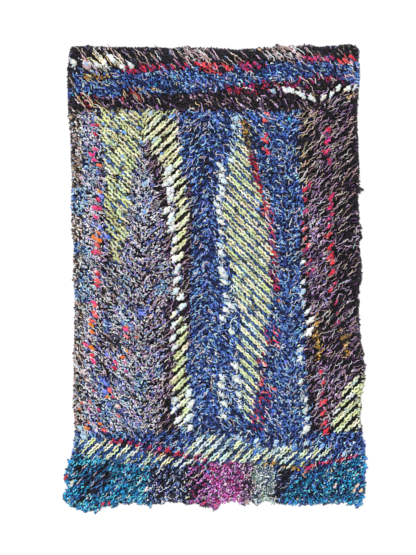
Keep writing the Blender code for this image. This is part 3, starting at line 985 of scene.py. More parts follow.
# The lumps of each kind of puff: place along and across its row and half width, as
# shares of its size. The first number is how much longer than wide a lump can be,
# the last one how many thin curls lie over the lumps.
PUFF_KINDS = {
    "clump": (1.6, ((0.05, 0.0, 0.28), (0.40, 0.05, 0.19), (-0.38, -0.04, 0.21), (0.08, 0.19, 0.17),
                    (-0.12, -0.18, 0.16)), 6),
    "tailed": (1.6, ((0.04, -0.08, 0.24), (0.10, 0.12, 0.19), (0.34, 0.02, 0.15), (-0.22, 0.06, 0.20),
                     (-0.24, -0.12, 0.14), (-0.52, 0.0, 0.12), (-0.80, 0.03, 0.08), (-1.1, 0.0, 0.06)), 6),
    "blob": (1.3, ((0.0, 0.0, 0.27), (0.33, 0.08, 0.22), (-0.28, -0.08, 0.18)), 2),
    "rag": (1.9, ((0.0, 0.0, 0.18), (0.42, 0.06, 0.14), (-0.40, -0.05, 0.13)), 5),
}

# Colours mixed into a puff besides its own.
PUFF_MIX = {
    "white": ("silver", "pale sage", "ice", "white", "cream"),
    "silver": ("rose taupe", "white", "steel"),
    "cornflower": ("sky", "royal", "steel"),
    "ice": ("white", "sky", "cornflower"),
    "red": ("coral", "crimson", "red"),
    "crimson": ("magenta", "plum", "crimson", "red"),
    "coral": ("red", "blush", "coral"),
    "orange": ("coral", "gold", "orange"),
    "pink": ("magenta", "crimson", "pink"),
    "magenta": ("crimson", "pink", "plum"),
    "gold": ("khaki", "umber", "peach"),
    "sky": ("ice", "cornflower", "silver"),
    "periwinkle": ("deep blue", "royal", "periwinkle"),
    "beige": ("peach", "blush", "taupe"),
    "cream": ("blush", "pale sage", "silver"),
}

# Puffs: weight of a puff's own colour, limits of its size, how thick its lumps
# are, how far and how much these vary, and how they rise, turn and stretch.
# Curls are the thin rags over the lumps.
PUFF_OWN_WEIGHT = 6
PUFF_SIZES = (0.88, 1.14)
PUFF_TONE = 0.08
PUFF_RELIEF = 0.3
PUFF_THICK = 0.8
PUFF_BEND = 0.10
LUMP_SHIFT = 0.05
LUMP_SIZES = (0.85, 1.15)
LUMP_RISE = 0.35
LUMP_DROOP = 0.005
LUMP_TURN = 0.8
LUMP_LENGTH = 2.5
LUMP_LIGHT = 0.94
CURL_SHIFT = (0.27, 0.14)
CURL_HALF_WIDTHS = (0.085, 0.13)
CURL_RISE = 0.20
CURL_TURN = 0.9
CURL_LENGTHS = (4, 6.5)

# The pile's pieces: name, then its left and right u and its upper and lower v.
PILE_PIECES = (
    ("pile_upper_band", 0, 420, 0, 111),
    ("pile_left", 0, 143.8, 111, 275),
    ("pile_left_lower", 0, 143.8, 275, 438.5),
    ("pile_middle_left", 143.8, 208, 111, 438.5),
    ("pile_leaf", 208, 288.8, 111, 438.5),
    ("pile_right", 288.8, 420, 111, 438.5),
    ("pile_lower_band", 0, 420, 438.5, 560),
)

# The floor, the world's and the sun's light, and the camera over the pile's top.
FLOOR_HALF = 6.0
FLOOR_DROP = 0.0005
FLOOR_COLOUR = (0.93, 0.93, 0.93, 1)
WORLD_COLOUR = (0.95, 0.97, 1.0, 1)
WORLD_STRENGTH = 0.65
SUN_STRENGTH = 2.25
SUN_DEGREES = 28
SUN_COLOUR = (1.0, 0.985, 0.96)
SUN_WAY = (0.36, -0.36, -1.0)
CAMERA_DISTANCE = 8.0
PILE_TOP = 0.02
SENSOR = 36.0

rng = np.random.default_rng(SEED)


def linear(srgb):
    """sRGB values from 0 to 255 as linear ones from 0 to 1."""
    share = np.asarray(srgb, float) / 255
    return np.where(share <= 0.04045, share / 12.92, ((share + 0.055) / 1.055) ** 2.4)


def to_metres(u, v):
    return LEFT + (u - LEFT_U) * PIXEL, UPPER - (v - UPPER_V) * PIXEL


def to_pixels(x, y):
    return LEFT_U + (x - LEFT) / PIXEL, UPPER_V + (UPPER - y) / PIXEL


def in_area(rows, u, v):
    """Which places lie between an area's left and right sides."""
    row_v, left, right = np.array(rows, float).T
    level = (v >= row_v[0]) & (v <= row_v[-1])
    return level & (u >= np.interp(v, row_v, left)) & (u <= np.interp(v, row_v, right))


def side_at(side, place):
    along, across = np.array(side, float).T
    return np.interp(place, along, across)


def inner_side(side, place, way):
    """The side's most inward place nearby. way is 1 for a left or upper side, -1 for the others."""
    nearby = [side_at(side, place + shift) * way for shift in NEARBY]
    return np.max(nearby, axis=0) * way


def inset(x, y):
    """How far places lie inside the rug's outline, in pixels, roughly."""
    u, v = to_pixels(x, y)
    across = np.minimum(u - side_at(LEFT_SIDE, v), side_at(RIGHT_SIDE, v) - u)
    along = np.minimum(v - side_at(UPPER_END, u), side_at(LOWER_END, u) - v)
    return np.minimum(across, along)


def palettes_at(x, y, blur=EDGE_BLUR):
    """The palette's number at each place, with ragged borders."""
    u, v = to_pixels(x, y)
    blur = blur * (1 + LOWEST_BAND_BLUR * (v > LOWEST_BAND_V))
    u = u + rng.normal(0, 1, u.shape) * blur
    v = v + rng.normal(0, 1, v.shape) * blur
    names = list(PALETTES)
    found = np.zeros(u.shape, int)
    for name, rows in AREAS:
        found[in_area(rows, u, v)] = names.index(name)
    return found


def palette_values(key, numbers):
    """What the numbered palettes say under key."""
    return np.array([each[key] for each in PALETTES.values()], float)[numbers]


def slants_at(x, y):
    u, v = to_pixels(x, y)
    u = u + rng.normal(0, SLANT_BLUR, u.shape)
    found = np.zeros(u.shape, int)
    for slant, rows in SLANTS:
        found[in_area(rows, u, v)] = slant
    return found


def colours_for(numbers, parts, spread=COLOUR_SPREAD, draws=None):
    """A colour for each place from its palette's crest, gap or thread colours.

    Places with the same draw, from 0 to 1, get the same colour of a palette.
    """
    parts = np.broadcast_to(parts, numbers.shape)
    if draws is None:
        draws = rng.random(len(numbers))
    colours = np.zeros((len(numbers), 3))
    for number, each in enumerate(PALETTES.values()):
        for part in ("crest", "gap", "thread"):
            here = np.flatnonzero((numbers == number) & (parts == part))
            weights = np.array(list(each[part].values()), float)
            choices = linear([COLOURS[name] for name in each[part]])
            picked = np.searchsorted(np.cumsum(weights) / weights.sum(), draws[here])
            colours[here] = choices[np.minimum(picked, len(weights) - 1)]
    value = np.exp(rng.normal(0, spread, (len(colours), 1)))
    tint = np.exp(rng.normal(0, TINT_SPREAD, colours.shape))
    return np.clip(colours * value * tint, 0, 1)


def read_grid(grid, a, b):
    """The grid's values at fractional places along its two axes, evened out between its points."""
    i, j = a.astype(int), b.astype(int)
    s, t = a - i, b - j
    near = grid[i, j] * (1 - s) + grid[i + 1, j] * s
    far = grid[i, j + 1] * (1 - s) + grid[i + 1, j + 1] * s
    return near * (1 - t) + far * t


def patches(x, y, way):
    """Light and dark patches drawn out along the rows: a factor for each place."""
    u, v = to_pixels(x, y)
    along = (u - way * v + PATCH_SHIFT) / math.sqrt(2) / PATCH_SIZE[0]
    across = (u + way * v + PATCH_SHIFT) / math.sqrt(2) / PATCH_SIZE[1]
    grid = rng.normal(0, 1, PATCH_GRID)
    return np.exp(read_grid(grid, along, across) * PATCH_SPREAD)[:, None]


class Surface:
    """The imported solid's upper face, read with rays from above onto a grid.

    top is the face itself, crown the height of the crests around each place.
    """

    STEP = CELL / 4

    def __init__(self, node):
        mesh = node.data
        points = [node.matrix_world @ vert.co for vert in mesh.vertices]
        tree = BVHTree.FromPolygons(points, [tuple(face.vertices) for face in mesh.polygons])
        self.xs = np.arange(-HALF_X, HALF_X, self.STEP)
        self.ys = np.arange(-HALF_Y, HALF_Y, self.STEP)
        down = Vector((0, 0, -1))
        self.top = np.zeros((len(self.xs), len(self.ys)))
        for i, x in enumerate(self.xs):
            for j, y in enumerate(self.ys):
                hit = tree.ray_cast(Vector((x, y, RAY_HEIGHT)), down)[0]
                if hit is not None:
                    self.top[i, j] = hit.z
        self.crown = self.top
        for _ in range(CROWN_SPREAD):
            self.crown = np.max(self.around(self.crown), axis=0)
        for _ in range(CROWN_SMOOTH):
            self.crown = np.mean(self.around(self.crown), axis=0)

    @staticmethod
    def around(values):
        """The grid itself and shifted by one place to all eight sides."""
        padded = np.pad(values, 1, mode="edge")
        rows, columns = values.shape
        return [padded[i:i + rows, j:j + columns] for i in range(3) for j in range(3)]

    def read(self, grid, x, y):
        a = np.clip((x - self.xs[0]) / self.STEP, 0, len(self.xs) - GRID_EDGE)
        b = np.clip((y - self.ys[0]) / self.STEP, 0, len(self.ys) - GRID_EDGE)
        return read_grid(grid, a, b)

    def height(self, x, y, relief=1.0):
        """The pile's height: the face's own at relief 1, level with the crests at 0."""
        top = self.read(self.top, x, y)
        crown = self.read(self.crown, x, y)
        inland = np.clip((inset(x, y) - RIM_INSET) / RIM_BLEND, 0, 1)
        least = RIM_PILE + (crown - RIM_PILE) * inland * RIM_RISE
        top = np.where(inland < 1, np.maximum(top, least), top)
        relief = 1 - (1 - relief) * inland
        return top * relief + crown * (1 - relief)


def mesh_piece(name, material, points, corners, sizes, colours=None, uv=None):
    """A smooth mesh object from arrays, with a colour for each point."""
    mesh = bpy.data.meshes.new(name)
    mesh.vertices.add(len(points))
    mesh.vertices.foreach_set("co", np.ascontiguousarray(points, np.float32).ravel())
    mesh.loops.add(len(corners))
    mesh.loops.foreach_set("vertex_index", np.ascontiguousarray(corners, np.int32))
    mesh.polygons.add(len(sizes))
    starts = np.concatenate([[0], np.cumsum(sizes)[:-1]])
    mesh.polygons.foreach_set("loop_start", starts.astype(np.int32))
    mesh.update(calc_edges=True)
    mesh.shade_smooth()
    if colours is not None:
        layer = mesh.color_attributes.new("rag", "FLOAT_COLOR", "POINT")
        rgba = np.ones((len(points), 4), np.float32)
        rgba[:, :3] = colours
        layer.data.foreach_set("color", rgba.ravel())
    if uv is not None:
        layer = mesh.uv_layers.new(name="OFBake")
        layer.data.foreach_set("uv", np.ascontiguousarray(uv, np.float32).ravel())
    piece = bpy.data.objects.new(name, mesh)
    bpy.context.scene.collection.objects.link(piece)
    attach(piece, BODY)
    mesh.materials.append(material)
    return piece


def tubes(paths, widths, thicknesses, rolls, colours, shades, sides=3):
    """Tubes along paths, pointed at both ends, as points, faces, colours and a baking map.

    paths is tubes x steps x 3, widths, thicknesses and shades tubes x steps, rolls and colours one for each
    tube. shades are painted shade: factors that darken the colours along each tube.
    """
    count, steps, _ = paths.shape
    tangent = np.gradient(paths, axis=1)
    tangent /= np.linalg.norm(tangent, axis=2, keepdims=True)
    side = np.cross(tangent, np.array((0.0, 0.0, 1.0)))
    side /= np.linalg.norm(side, axis=2, keepdims=True)
    lift = np.cross(side, tangent)
    turn = rolls[:, None, None] + np.arange(sides) * 2 * math.pi / sides
    turn = np.broadcast_to(turn, (count, steps, sides))
    across = (np.cos(turn) * widths[:, :, None] / 2)[..., None] * side[:, :, None]
    upward = (np.sin(turn) * thicknesses[:, :, None] / 2)[..., None] * lift[:, :, None]
    ring_points = (paths[:, :, None] + across + upward)[:, 1:-1].reshape(count, -1, 3)
    points = np.concatenate([paths[:, :1], ring_points, paths[:, -1:]], 1)
    points[..., 2] = np.maximum(points[..., 2], 0)
    each = points.shape[1]
    point_shades = np.concatenate([shades[:, :1], np.repeat(shades[:, 1:-1], sides, 1), shades[:, -1:]], 1)
    # The colours times the painted shade along each tube.
    tints = colours[:, None] * point_shades[..., None]

    ring = np.arange(sides)
    after = (ring + 1) % sides
    left = CELL_EDGE + CELL_REST * ring / sides
    right = CELL_EDGE + CELL_REST * (ring + 1) / sides
    middle = (left + right) / 2
    heights = CELL_EDGE + CELL_REST * np.arange(steps) / (steps - 1)
    last = each - 1 - sides

    def at(u, v):
        return np.stack([u, np.full(sides, v)], 1)

    fans = np.concatenate([
        np.stack([np.zeros(sides, int), 1 + ring, 1 + after], 1),
        np.stack([last + after, last + ring, np.full(sides, each - 1)], 1),
    ])
    fan_uv = np.concatenate([
        np.stack([at(middle, heights[0]), at(left, heights[1]), at(right, heights[1])], 1),
        np.stack([at(right, heights[-2]), at(left, heights[-2]), at(middle, heights[-1])], 1),
    ])
    walls = []
    wall_uv = []
    for step in range(1, steps - 2):
        low = 1 + (step - 1) * sides
        high = low + sides
        walls.append(np.stack([low + ring, high + ring, high + after, low + after], 1))
        near, far = heights[step], heights[step + 1]
        wall_uv.append(np.stack([at(left, near), at(left, far), at(right, far), at(right, near)], 1))
    walls = np.concatenate(walls)
    wall_uv = np.concatenate(wall_uv)

    offsets = (np.arange(count) * each)[:, None, None]
    cells = math.ceil(math.sqrt(count))
    cell = np.stack([np.arange(count) % cells, np.arange(count) // cells], 1)[:, None, None]
    return (
        points.reshape(-1, 3),
        np.concatenate([(offsets + walls).ravel(), (offsets + fans).ravel()]),
        np.concatenate([np.full(count * len(walls), 4), np.full(count * len(fans), 3)]),
        tints.reshape(-1, 3),
        np.concatenate([(cell + wall_uv).reshape(-1, 2), (cell + fan_uv).reshape(-1, 2)]) / cells,
    )


def joined(parts):
    """Several results of tubes as one, each map in its own strip."""
    strip = 1 / len(parts)
    moved = []
    offset = 0
    for number, (points, corners, sizes, tints, uv) in enumerate(parts):
        moved.append((points, corners + offset, sizes, tints, uv * (1, strip) + (0, number / len(parts))))
        offset += len(points)
    return tuple(np.concatenate(part) for part in zip(*moved))


class Rags:
    """Rags of one kind: where they lie, how they head, and their sizes and colours."""

    def __init__(self, kind, **values):
        self.kind = kind
        self.values = values

    @classmethod
    def varied(cls, kind, x, y, z, heading, length, width, thickness):
        """Rags whose sizes and bend vary as their kind says. They still need colours."""
        draws = [np.exp(rng.normal(0, spread, len(x))) for spread in kind["spreads"]]
        sizes = [size * draw for size, draw in zip((length, width, thickness), draws)]
        bend = rng.normal(0, kind["bend"], len(x))
        names = ("x", "y", "z", "heading", "length", "width", "thickness", "bend")
        return cls(kind, **dict(zip(names, (x, y, z, heading, *sizes, bend))))

    def within(self, left, right, upper, lower):
        """The rags that lie between two u and two v."""
        u, v = to_pixels(self.values["x"], self.values["y"])
        here = (u >= left) & (u < right) & (v >= upper) & (v < lower)
        return Rags(self.kind, **{name: value[here] for name, value in self.values.items()})

    def laid(self, sides=3):
        """The rags as tubes, which rise, sway and taper as their kind says, with painted shade that darkens
        them towards their ends.
        """
        value = self.values
        shape = self.kind
        count = len(value["x"])
        steps = len(shape["rise"])
        share = np.linspace(-0.5, 0.5, steps)[None]
        along = share * value["length"][:, None]
        phase = rng.uniform(0, 2 * math.pi, (count, 1))
        wave = shape["wave"] * np.exp(rng.normal(0, WAVE_SPREAD, (count, 1)))
        sideways = shape["sway"] * np.sin(along / wave * 2 * math.pi + phase)
        sideways = sideways + value["bend"][:, None] * (1 - 4 * share ** 2)
        cos, sin = np.cos(value["heading"])[:, None], np.sin(value["heading"])[:, None]
        rise = np.array(shape["rise"])[None] + rng.normal(0, shape["rise_spread"], (count, steps))
        rise = rise + shape["bob"] * np.sin(along / wave * 4 * math.pi + 2 * phase)
        z = np.maximum(value["z"][:, None] + rise, RAG_LOWEST)
        x = value["x"][:, None] + along * cos - sideways * sin
        y = value["y"][:, None] + along * sin + sideways * cos
        taper = np.array(shape["taper"])[None] * np.exp(rng.normal(0, shape["width_spread"], (count, steps)))
        # Painted shade: the colours darken towards the ends that sink into the pile.
        shades = np.broadcast_to(np.array(shape["shade"])[None], (count, steps))
        return tubes(
            np.stack([x, y, z], 2), value["width"][:, None] * taper, value["thickness"][:, None] * taper,
            rng.uniform(0, 2 * math.pi, count), value["colours"], shades, sides,
        )


def places_along_rows(line, step, off_line):
    """Places along a line of each row: x, y, the row's way, the distance from its crest, and a draw.

    line and off_line are shares of the rows' pitch, off_line the spread. The
    draw, from 0 to 1, is the same for a few places in a row.
    """
    found = []
    for way in (-1, 1):
        along = np.arange(*ROW_ENDS, step * math.sqrt(2))
        row, b = np.meshgrid(ROW_NUMBERS, along, indexing="ij")
        b = b + rng.uniform(0, step, (len(row), 1))
        b = b + rng.normal(0, step * STEP_SPREAD, b.shape)
        off = line + rng.normal(0, off_line, b.shape)
        a = (row + off) * 2 * CELL
        streaks = rng.random((len(row), STREAKS))
        streak = (b / (step * STREAK) + STREAKS / 4 + rng.random((len(row), 1))).astype(int)
        draw = streaks[np.arange(len(row))[:, None], streak]
        x = LEFT + (a + b) / 2
        y = LOWER + (b - a) * way / 2
        near = (abs(x) < HALF_X) & (abs(y) < HALF_Y)
        x, y, off, draw = x[near], y[near], off[near], draw[near]
        here = slants_at(x, y) == way
        found.append((x[here], y[here], np.full(here.sum(), way), abs(off[here]), draw[here]))
    return tuple(np.concatenate(part) for part in zip(*found))


def places_on_lines(kind):
    """The places along all the lines of a kind of rag."""
    parts = [places_along_rows(line, kind["step"], kind["off_line"]) for line in kind["lines"]]
    return tuple(np.concatenate(part) for part in zip(*parts))


def height_for(kind, surface, x, y, numbers):
    least, more = kind["relief"]
    return surface.height(x, y, least + more * palette_values("rows", numbers))


def heading_spread(kind, numbers):
    least, more = kind["turn"]
    return least + more * (1 - palette_values("combed", numbers))


def make_crumbs(surface):
    """The short rag ends that fill the pile, dark and low between the rows: their dark gap colours are
    partly their own, partly painted shade.
    """
    x, y, way, off, draw = places_on_lines(CRUMB)
    numbers = palettes_at(x, y)
    keep = inset(x, y) > CRUMB["inset"]
    x, y, way, off, draw, numbers = (value[keep] for value in (x, y, way, off, draw, numbers))
    count = len(x)
    rows = palette_values("rows", numbers)
    under = palette_values("strand_width", numbers) > 0
    between = np.clip((off - GAP_START) / GAP_BLEND, 0, 1)
    low = rng.random(count) < CREST_LOW + GAP_LOW * rows * between
    low |= under & (rows > STRAND_ROWS) & (off > STRAND_GAP)
    streaked = rng.random(count) < STREAK_SHARE * palette_values("combed", numbers)
    draw = np.where(streaked, draw, rng.random(count))
    # Low crumbs, between rows and beside strands, take the gap colours: partly the rags' own, partly painted
    # shade.
    colours = colours_for(numbers, np.where(low, "gap", "crest"), CRUMB["colour_spread"], draw)
    z = height_for(CRUMB, surface, x, y, numbers) - LOW_DROP * low - UNDER_STRANDS * under
    z = z + rng.normal(0, CRUMB_Z_SPREAD, count)
    heading = way * math.pi / 4 + rng.choice((0, math.pi), count)
    heading = heading + rng.normal(0, heading_spread(CRUMB, numbers), count)
    length = CRUMB_LENGTH * palette_values("long", numbers)
    width = CRUMB_WIDTH * palette_values("wide", numbers)
    rags = Rags.varied(CRUMB, x, y, z, heading, length, width, CRUMB_THICKNESS)
    rags.values["colours"] = np.clip(colours * patches(x, y, way), 0, 1)
    return rags


def make_strands(surface, key, lift, narrow):
    """The strands along the leaves' rows, on the lines that the palettes list under key. The black strands
    are painted shadow along the pale strands' edges.
    """
    found = []
    for line in sorted({line for each in PALETTES.values() for line in each[key]}):
        x, y, way, *_ = places_along_rows(line, STRAND["step"], STRAND["off_line"])
        numbers = palettes_at(x, y, STRAND_BLUR)
        has_line = np.array([line in each[key] for each in PALETTES.values()])
        keep = (inset(x, y) > STRAND["inset"]) & has_line[numbers]
        keep &= rng.random(len(x)) < palette_values("strand_share", numbers)
        found.append([value[keep] for value in (x, y, way, numbers)])
    x, y, way, numbers = (np.concatenate(part) for part in zip(*found))
    z = height_for(STRAND, surface, x, y, numbers) + lift
    heading = way * math.pi / 4 + rng.normal(0, 1, len(x)) * palette_values("stray", numbers)
    width = palette_values("strand_width", numbers) * narrow
    rags = Rags.varied(STRAND, x, y, z, heading, STRAND_LENGTH, width, width * STRAND_THICK)
    if key == "strands":
        rags.values["colours"] = colours_for(numbers, "thread", STRAND["colour_spread"])
    else:
        # Painted shadow: thin black strands along the pale strands' edges.
        rags.values["colours"] = np.tile(linear(COLOURS["black"]), (len(x), 1))
    return rags


def make_threads(surface):
    """Thin pale threads over the pile."""
    x, y, way, *_ = places_on_lines(THREAD)
    numbers = palettes_at(x, y)
    keep = inset(x, y) > THREAD["inset"]
    keep &= rng.random(len(x)) < palette_values("threads", numbers)
    x, y, way, numbers = (value[keep] for value in (x, y, way, numbers))
    z = height_for(THREAD, surface, x, y, numbers) + THREAD_LIFT
    heading = way * math.pi / 4 + rng.normal(0, heading_spread(THREAD, numbers), len(x))
    length = palette_values("thread_length", numbers)
    width = palette_values("thread_width", numbers)
    rags = Rags.varied(THREAD, x, y, z, heading, length, width, width * THREAD_THICK)
    rags.values["colours"] = colours_for(numbers, "thread", THREAD["colour_spread"])
    return rags


def make_pile(surface, material):
    kinds = (
        make_crumbs(surface),
        make_strands(surface, "strands", STRAND_LIFT, 1.0),
        make_strands(surface, "dark_strands", SHADOW_STRAND_LIFT, SHADOW_STRAND_NARROW),
        make_threads(surface),
    )
    pieces = []
    for name, *limits in PILE_PIECES:
        chosen = [rags.within(*limits) for rags in kinds]
        parts = [rags.laid() for rags in chosen if len(rags.values["x"])]
        pieces.append(mesh_piece(name, material, *joined(parts)))
    return pieces


def slab(name, material, x, y, upper_z, lower_z, upper, rim, tints=None):
    """A closed sheet: its upper faces, the same below, and a wall along each edge of the rim."""
    count = len(x)
    walls = np.stack([rim[:, 1], rim[:, 0], rim[:, 0] + count, rim[:, 1] + count], 1)
    faces = np.concatenate([upper, upper[:, ::-1] + count, walls])
    points = np.concatenate([
        np.stack([x, y, np.broadcast_to(upper_z, count)], 1),
        np.stack([x, y, np.broadcast_to(lower_z, count)], 1),
    ])
    colours = None if tints is None else np.concatenate([tints, tints])
    return mesh_piece(name, material, points, faces.ravel(), np.full(len(faces), 4), colours)


def make_bed(surface, material):
    """The dark bed of the pile, a little under the solid's upper face: painted shade in the gaps' colours,
    darkened further, that shows between the rags.
    """
    grid_x, grid_y = np.meshgrid(LEFT + BED_COLUMNS * CELL, LOWER + BED_ROWS * CELL, indexing="ij")
    z = surface.height(grid_x, grid_y)
    inside = z > BED_RIM
    corners = ((0, 0), (1, 0), (1, 1), (0, 1))
    wide, long = inside.shape[0] - 1, inside.shape[1] - 1
    keep = np.all([inside[i:i + wide, j:j + long] for i, j in corners], axis=0)
    used = np.zeros(inside.shape, bool)
    for i, j in corners:
        used[i:i + wide, j:j + long] |= keep
    index = -np.ones(inside.shape, int)
    index[used] = np.arange(used.sum())
    cell_i, cell_j = np.nonzero(keep)
    upper = np.stack([index[cell_i + i, cell_j + j] for i, j in corners], 1)
    edges = np.concatenate([upper[:, [a, b]] for a, b in ((0, 1), (1, 2), (2, 3), (3, 0))])
    keys = {tuple(edge) for edge in edges.tolist()}
    rim = np.array(sorted((a, b) for a, b in keys if (b, a) not in keys))
    x, y = grid_x[used], grid_y[used]
    # Painted shade: the gap colours, darkened by BED_SHADE.
    tints = colours_for(palettes_at(x, y), "gap", BED_COLOUR_SPREAD) * BED_SHADE
    top = np.maximum(z[used] - BED_DEPTH, BED_LOWEST)
    return slab("pile_bed", material, x, y, top, GROUND_THICKNESS + BED_GAP, upper, rim, tints)


def make_ground(material):
    """The woven ground under the pile: one thin flat cloth, a little inside the outline."""
    s, t = np.meshgrid(np.linspace(0, 1, GROUND_COLUMNS + 1), np.linspace(0, 1, GROUND_ROWS + 1))
    left_u, upper_v, width, length = GROUND_BOX
    u, v = left_u + s * width, upper_v + t * length
    for _ in range(GROUND_ROUNDS):
        left = inner_side(LEFT_SIDE, v, 1) + GROUND_INSET
        right = inner_side(RIGHT_SIDE, v, -1) - GROUND_INSET
        u = left + (right - left) * s
        upper = inner_side(UPPER_END, u, 1) + GROUND_INSET
        lower = inner_side(LOWER_END, u, -1) - GROUND_INSET
        v = upper + (lower - upper) * t
    x, y = to_metres(u, v)
    index = np.arange(x.size).reshape(x.shape)
    faces = np.stack([index[1:, :-1], index[1:, 1:], index[:-1, 1:], index[:-1, :-1]], 2).reshape(-1, 4)
    loop = np.concatenate([index[0, :-1], index[:-1, -1], index[-1, :0:-1], index[:0:-1, 0]])
    rim = np.stack([np.roll(loop, -1), loop], 1)
    piece = slab("ground_weave", material, x.ravel(), y.ravel(), GROUND_THICKNESS, 0.0, faces, rim)
    size = float((x[:, -1] - x[:, 0]).mean()), float((y[0] - y[-1]).mean())
    return piece, size


def stretch(side, limits):
    return [place for place in side if limits[0] < place[0] < limits[1]]


def rim_places(step):
    """Places along the outline and the way out of the rug at each."""
    corners = [
        *((u, v) for v, u in stretch(LEFT_SIDE, RIM_LEFT)),
        *stretch(LOWER_END, RIM_LOWER),
        *((u, v) for v, u in reversed(stretch(RIGHT_SIDE, RIM_RIGHT))),
        *reversed(stretch(UPPER_END, RIM_UPPER)),
    ]
    u, v = np.array([*corners, corners[0]], float).T
    x, y = to_metres(u, v)
    far = np.concatenate([[0], np.cumsum(np.hypot(np.diff(x), np.diff(y)))])
    places = np.arange(0, far[-1], step)
    places = places + rng.uniform(-RIM_STEP_SPREAD, RIM_STEP_SPREAD, len(places)) * step

    def at(place):
        return np.interp(place % far[-1], far, x), np.interp(place % far[-1], far, y)

    (ahead_x, ahead_y), (behind_x, behind_y) = at(places + RIM_INLAND), at(places - RIM_INLAND)
    along = np.hypot(ahead_x - behind_x, ahead_y - behind_y)
    return *at(places), (ahead_y - behind_y) / along, -(ahead_x - behind_x) / along


def more_where(shaggy, values):
    """The first value, and the second as well where the rug is shaggy."""
    return values[0] + values[1] * shaggy


def make_rim(material):
    """Rag ends round the rim, shaggier at the lower end."""
    parts = []
    for height, inward, width, edge in RIM_LAYERS:
        x, y, out_x, out_y = rim_places(RIM_STEP)
        count = len(x)
        u, v = to_pixels(x, y)
        shaggy = np.clip((v - SHAGGY_V) / SHAGGY_BLEND, 0, 1)
        loose = rng.random(count) < more_where(shaggy, LOOSE_SHARE)
        loose = loose * rng.uniform(LOOSE_REACH[0], more_where(shaggy, LOOSE_REACH[1:]), count)
        beyond = (edge + rng.normal(0, 1, count) * more_where(shaggy, RIM_REACH_SPREAD) + loose) * PIXEL
        turn = rng.normal(0, 1, count) * more_where(shaggy, RIM_TURN)
        turn = turn - SHAGGY_CORNER_TURN * shaggy * (u < SHAGGY_CORNER_U)
        way_x = out_x * np.cos(turn) - out_y * np.sin(turn)
        way_y = out_x * np.sin(turn) + out_y * np.cos(turn)
        length = inward * more_where(shaggy, RIM_LONGER) * np.exp(rng.normal(0, RIM_LENGTH_SPREAD, count))
        reach = RIM_SHARES * (length + beyond)[:, None] - length[:, None]
        path_x = x[:, None] + way_x[:, None] * reach
        path_y = y[:, None] + way_y[:, None] * reach
        path_z = np.maximum(height + RIM_DROP + rng.normal(0, RIM_Z_SPREAD, reach.shape), RIM_LOWEST)
        numbers = palettes_at(x - out_x * RIM_INLAND, y - out_y * RIM_INLAND)
        low = rng.random(count) < RIM_LOW
        taper = RIM_TAPER * np.exp(rng.normal(0, RIM_TAPER_SPREAD, reach.shape))
        widths = (width * np.exp(rng.normal(0, RIM_WIDTH_SPREAD, count)))[:, None] * taper
        rolls = rng.uniform(0, 2 * math.pi, count)
        # Painted shade: RIM_SHADE darkens each end towards the pile, and the low ones take the gap colours,
        # which are partly painted shade.
        parts.append(tubes(
            np.stack([path_x, path_y, path_z], 2), widths, widths * RIM_THICK, rolls,
            colours_for(numbers, np.where(low, "gap", "crest")), np.broadcast_to(RIM_SHADE, reach.shape),
        ))
    return mesh_piece("rim_rags", material, *joined(parts))


def puff_rags(surface, colour, kind, size, u, v):
    """The lumps and curls of one puff: x, y, z, heading, length, width and colour of each."""
    longest, lumps, curls = PUFF_KINDS[kind]
    x, y = to_metres(np.array([u]), np.array([v]))
    way = slants_at(x, y)[0] or 1
    z = max(surface.height(x, y, PUFF_RELIEF)[0], PUFF_LOWEST)
    full = size * PIXEL * rng.uniform(*PUFF_SIZES)
    along = np.array((1.0, way)) / math.sqrt(2)
    across = np.array((-way, 1.0)) / math.sqrt(2)
    value = math.exp(rng.normal(0, PUFF_TONE))
    loose = [(*rng.normal(0, CURL_SHIFT), rng.uniform(*CURL_HALF_WIDTHS)) for _ in range(curls)]
    found = []
    for number, (forward, sideways, half) in enumerate((*lumps, *loose)):
        is_curl = number >= len(lumps)
        forward, sideways = np.array((forward, sideways)) + rng.normal(0, LUMP_SHIFT, 2)
        middle = np.array((x[0], y[0])) + (along * forward + across * sideways) * full
        half = half * full * rng.uniform(*LUMP_SIZES)
        reach = math.hypot(forward, sideways)
        high = z + half * LUMP_RISE - LUMP_DROOP * reach
        high += is_curl * full * CURL_RISE * max(0.0, 1 - 2 * reach)
        heading = way * math.pi / 4 + rng.normal(0, CURL_TURN if is_curl else LUMP_TURN / longest ** 2)
        length = half * (rng.uniform(*CURL_LENGTHS) if is_curl else LUMP_LENGTH * rng.uniform(1.0, longest))
        light = value if is_curl else LUMP_LIGHT * value
        mixed = PUFF_MIX[colour] if is_curl else (colour,) * PUFF_OWN_WEIGHT + PUFF_MIX[colour]
        tint = linear(COLOURS[mixed[rng.integers(len(mixed))]])
        tint = tint * light * np.exp(rng.normal(0, TINT_SPREAD))
        found.append((*middle, high, heading, length, 2 * half, *tint))
    return found


def make_puffs(surface, material):
    """Puffs: plump cloth lumps in a clump or a line, with thin curls over them."""
    found = []
    for colour, kind, size, spots in PUFFS:
        for u, v in spots:
            found += puff_rags(surface, colour, kind, size, u, v)
    x, y, z, heading, length, width, *tints = np.array(found).T
    puffs = Rags(
        PUFF,
        x=x, y=y, z=z, heading=heading, length=length, width=width, thickness=width * PUFF_THICK,
        bend=rng.normal(0, PUFF_BEND, len(x)) * width, colours=np.clip(np.stack(tints, 1), 0, 1),
    )
    return mesh_piece("fleece_puffs", material, *puffs.laid(6))


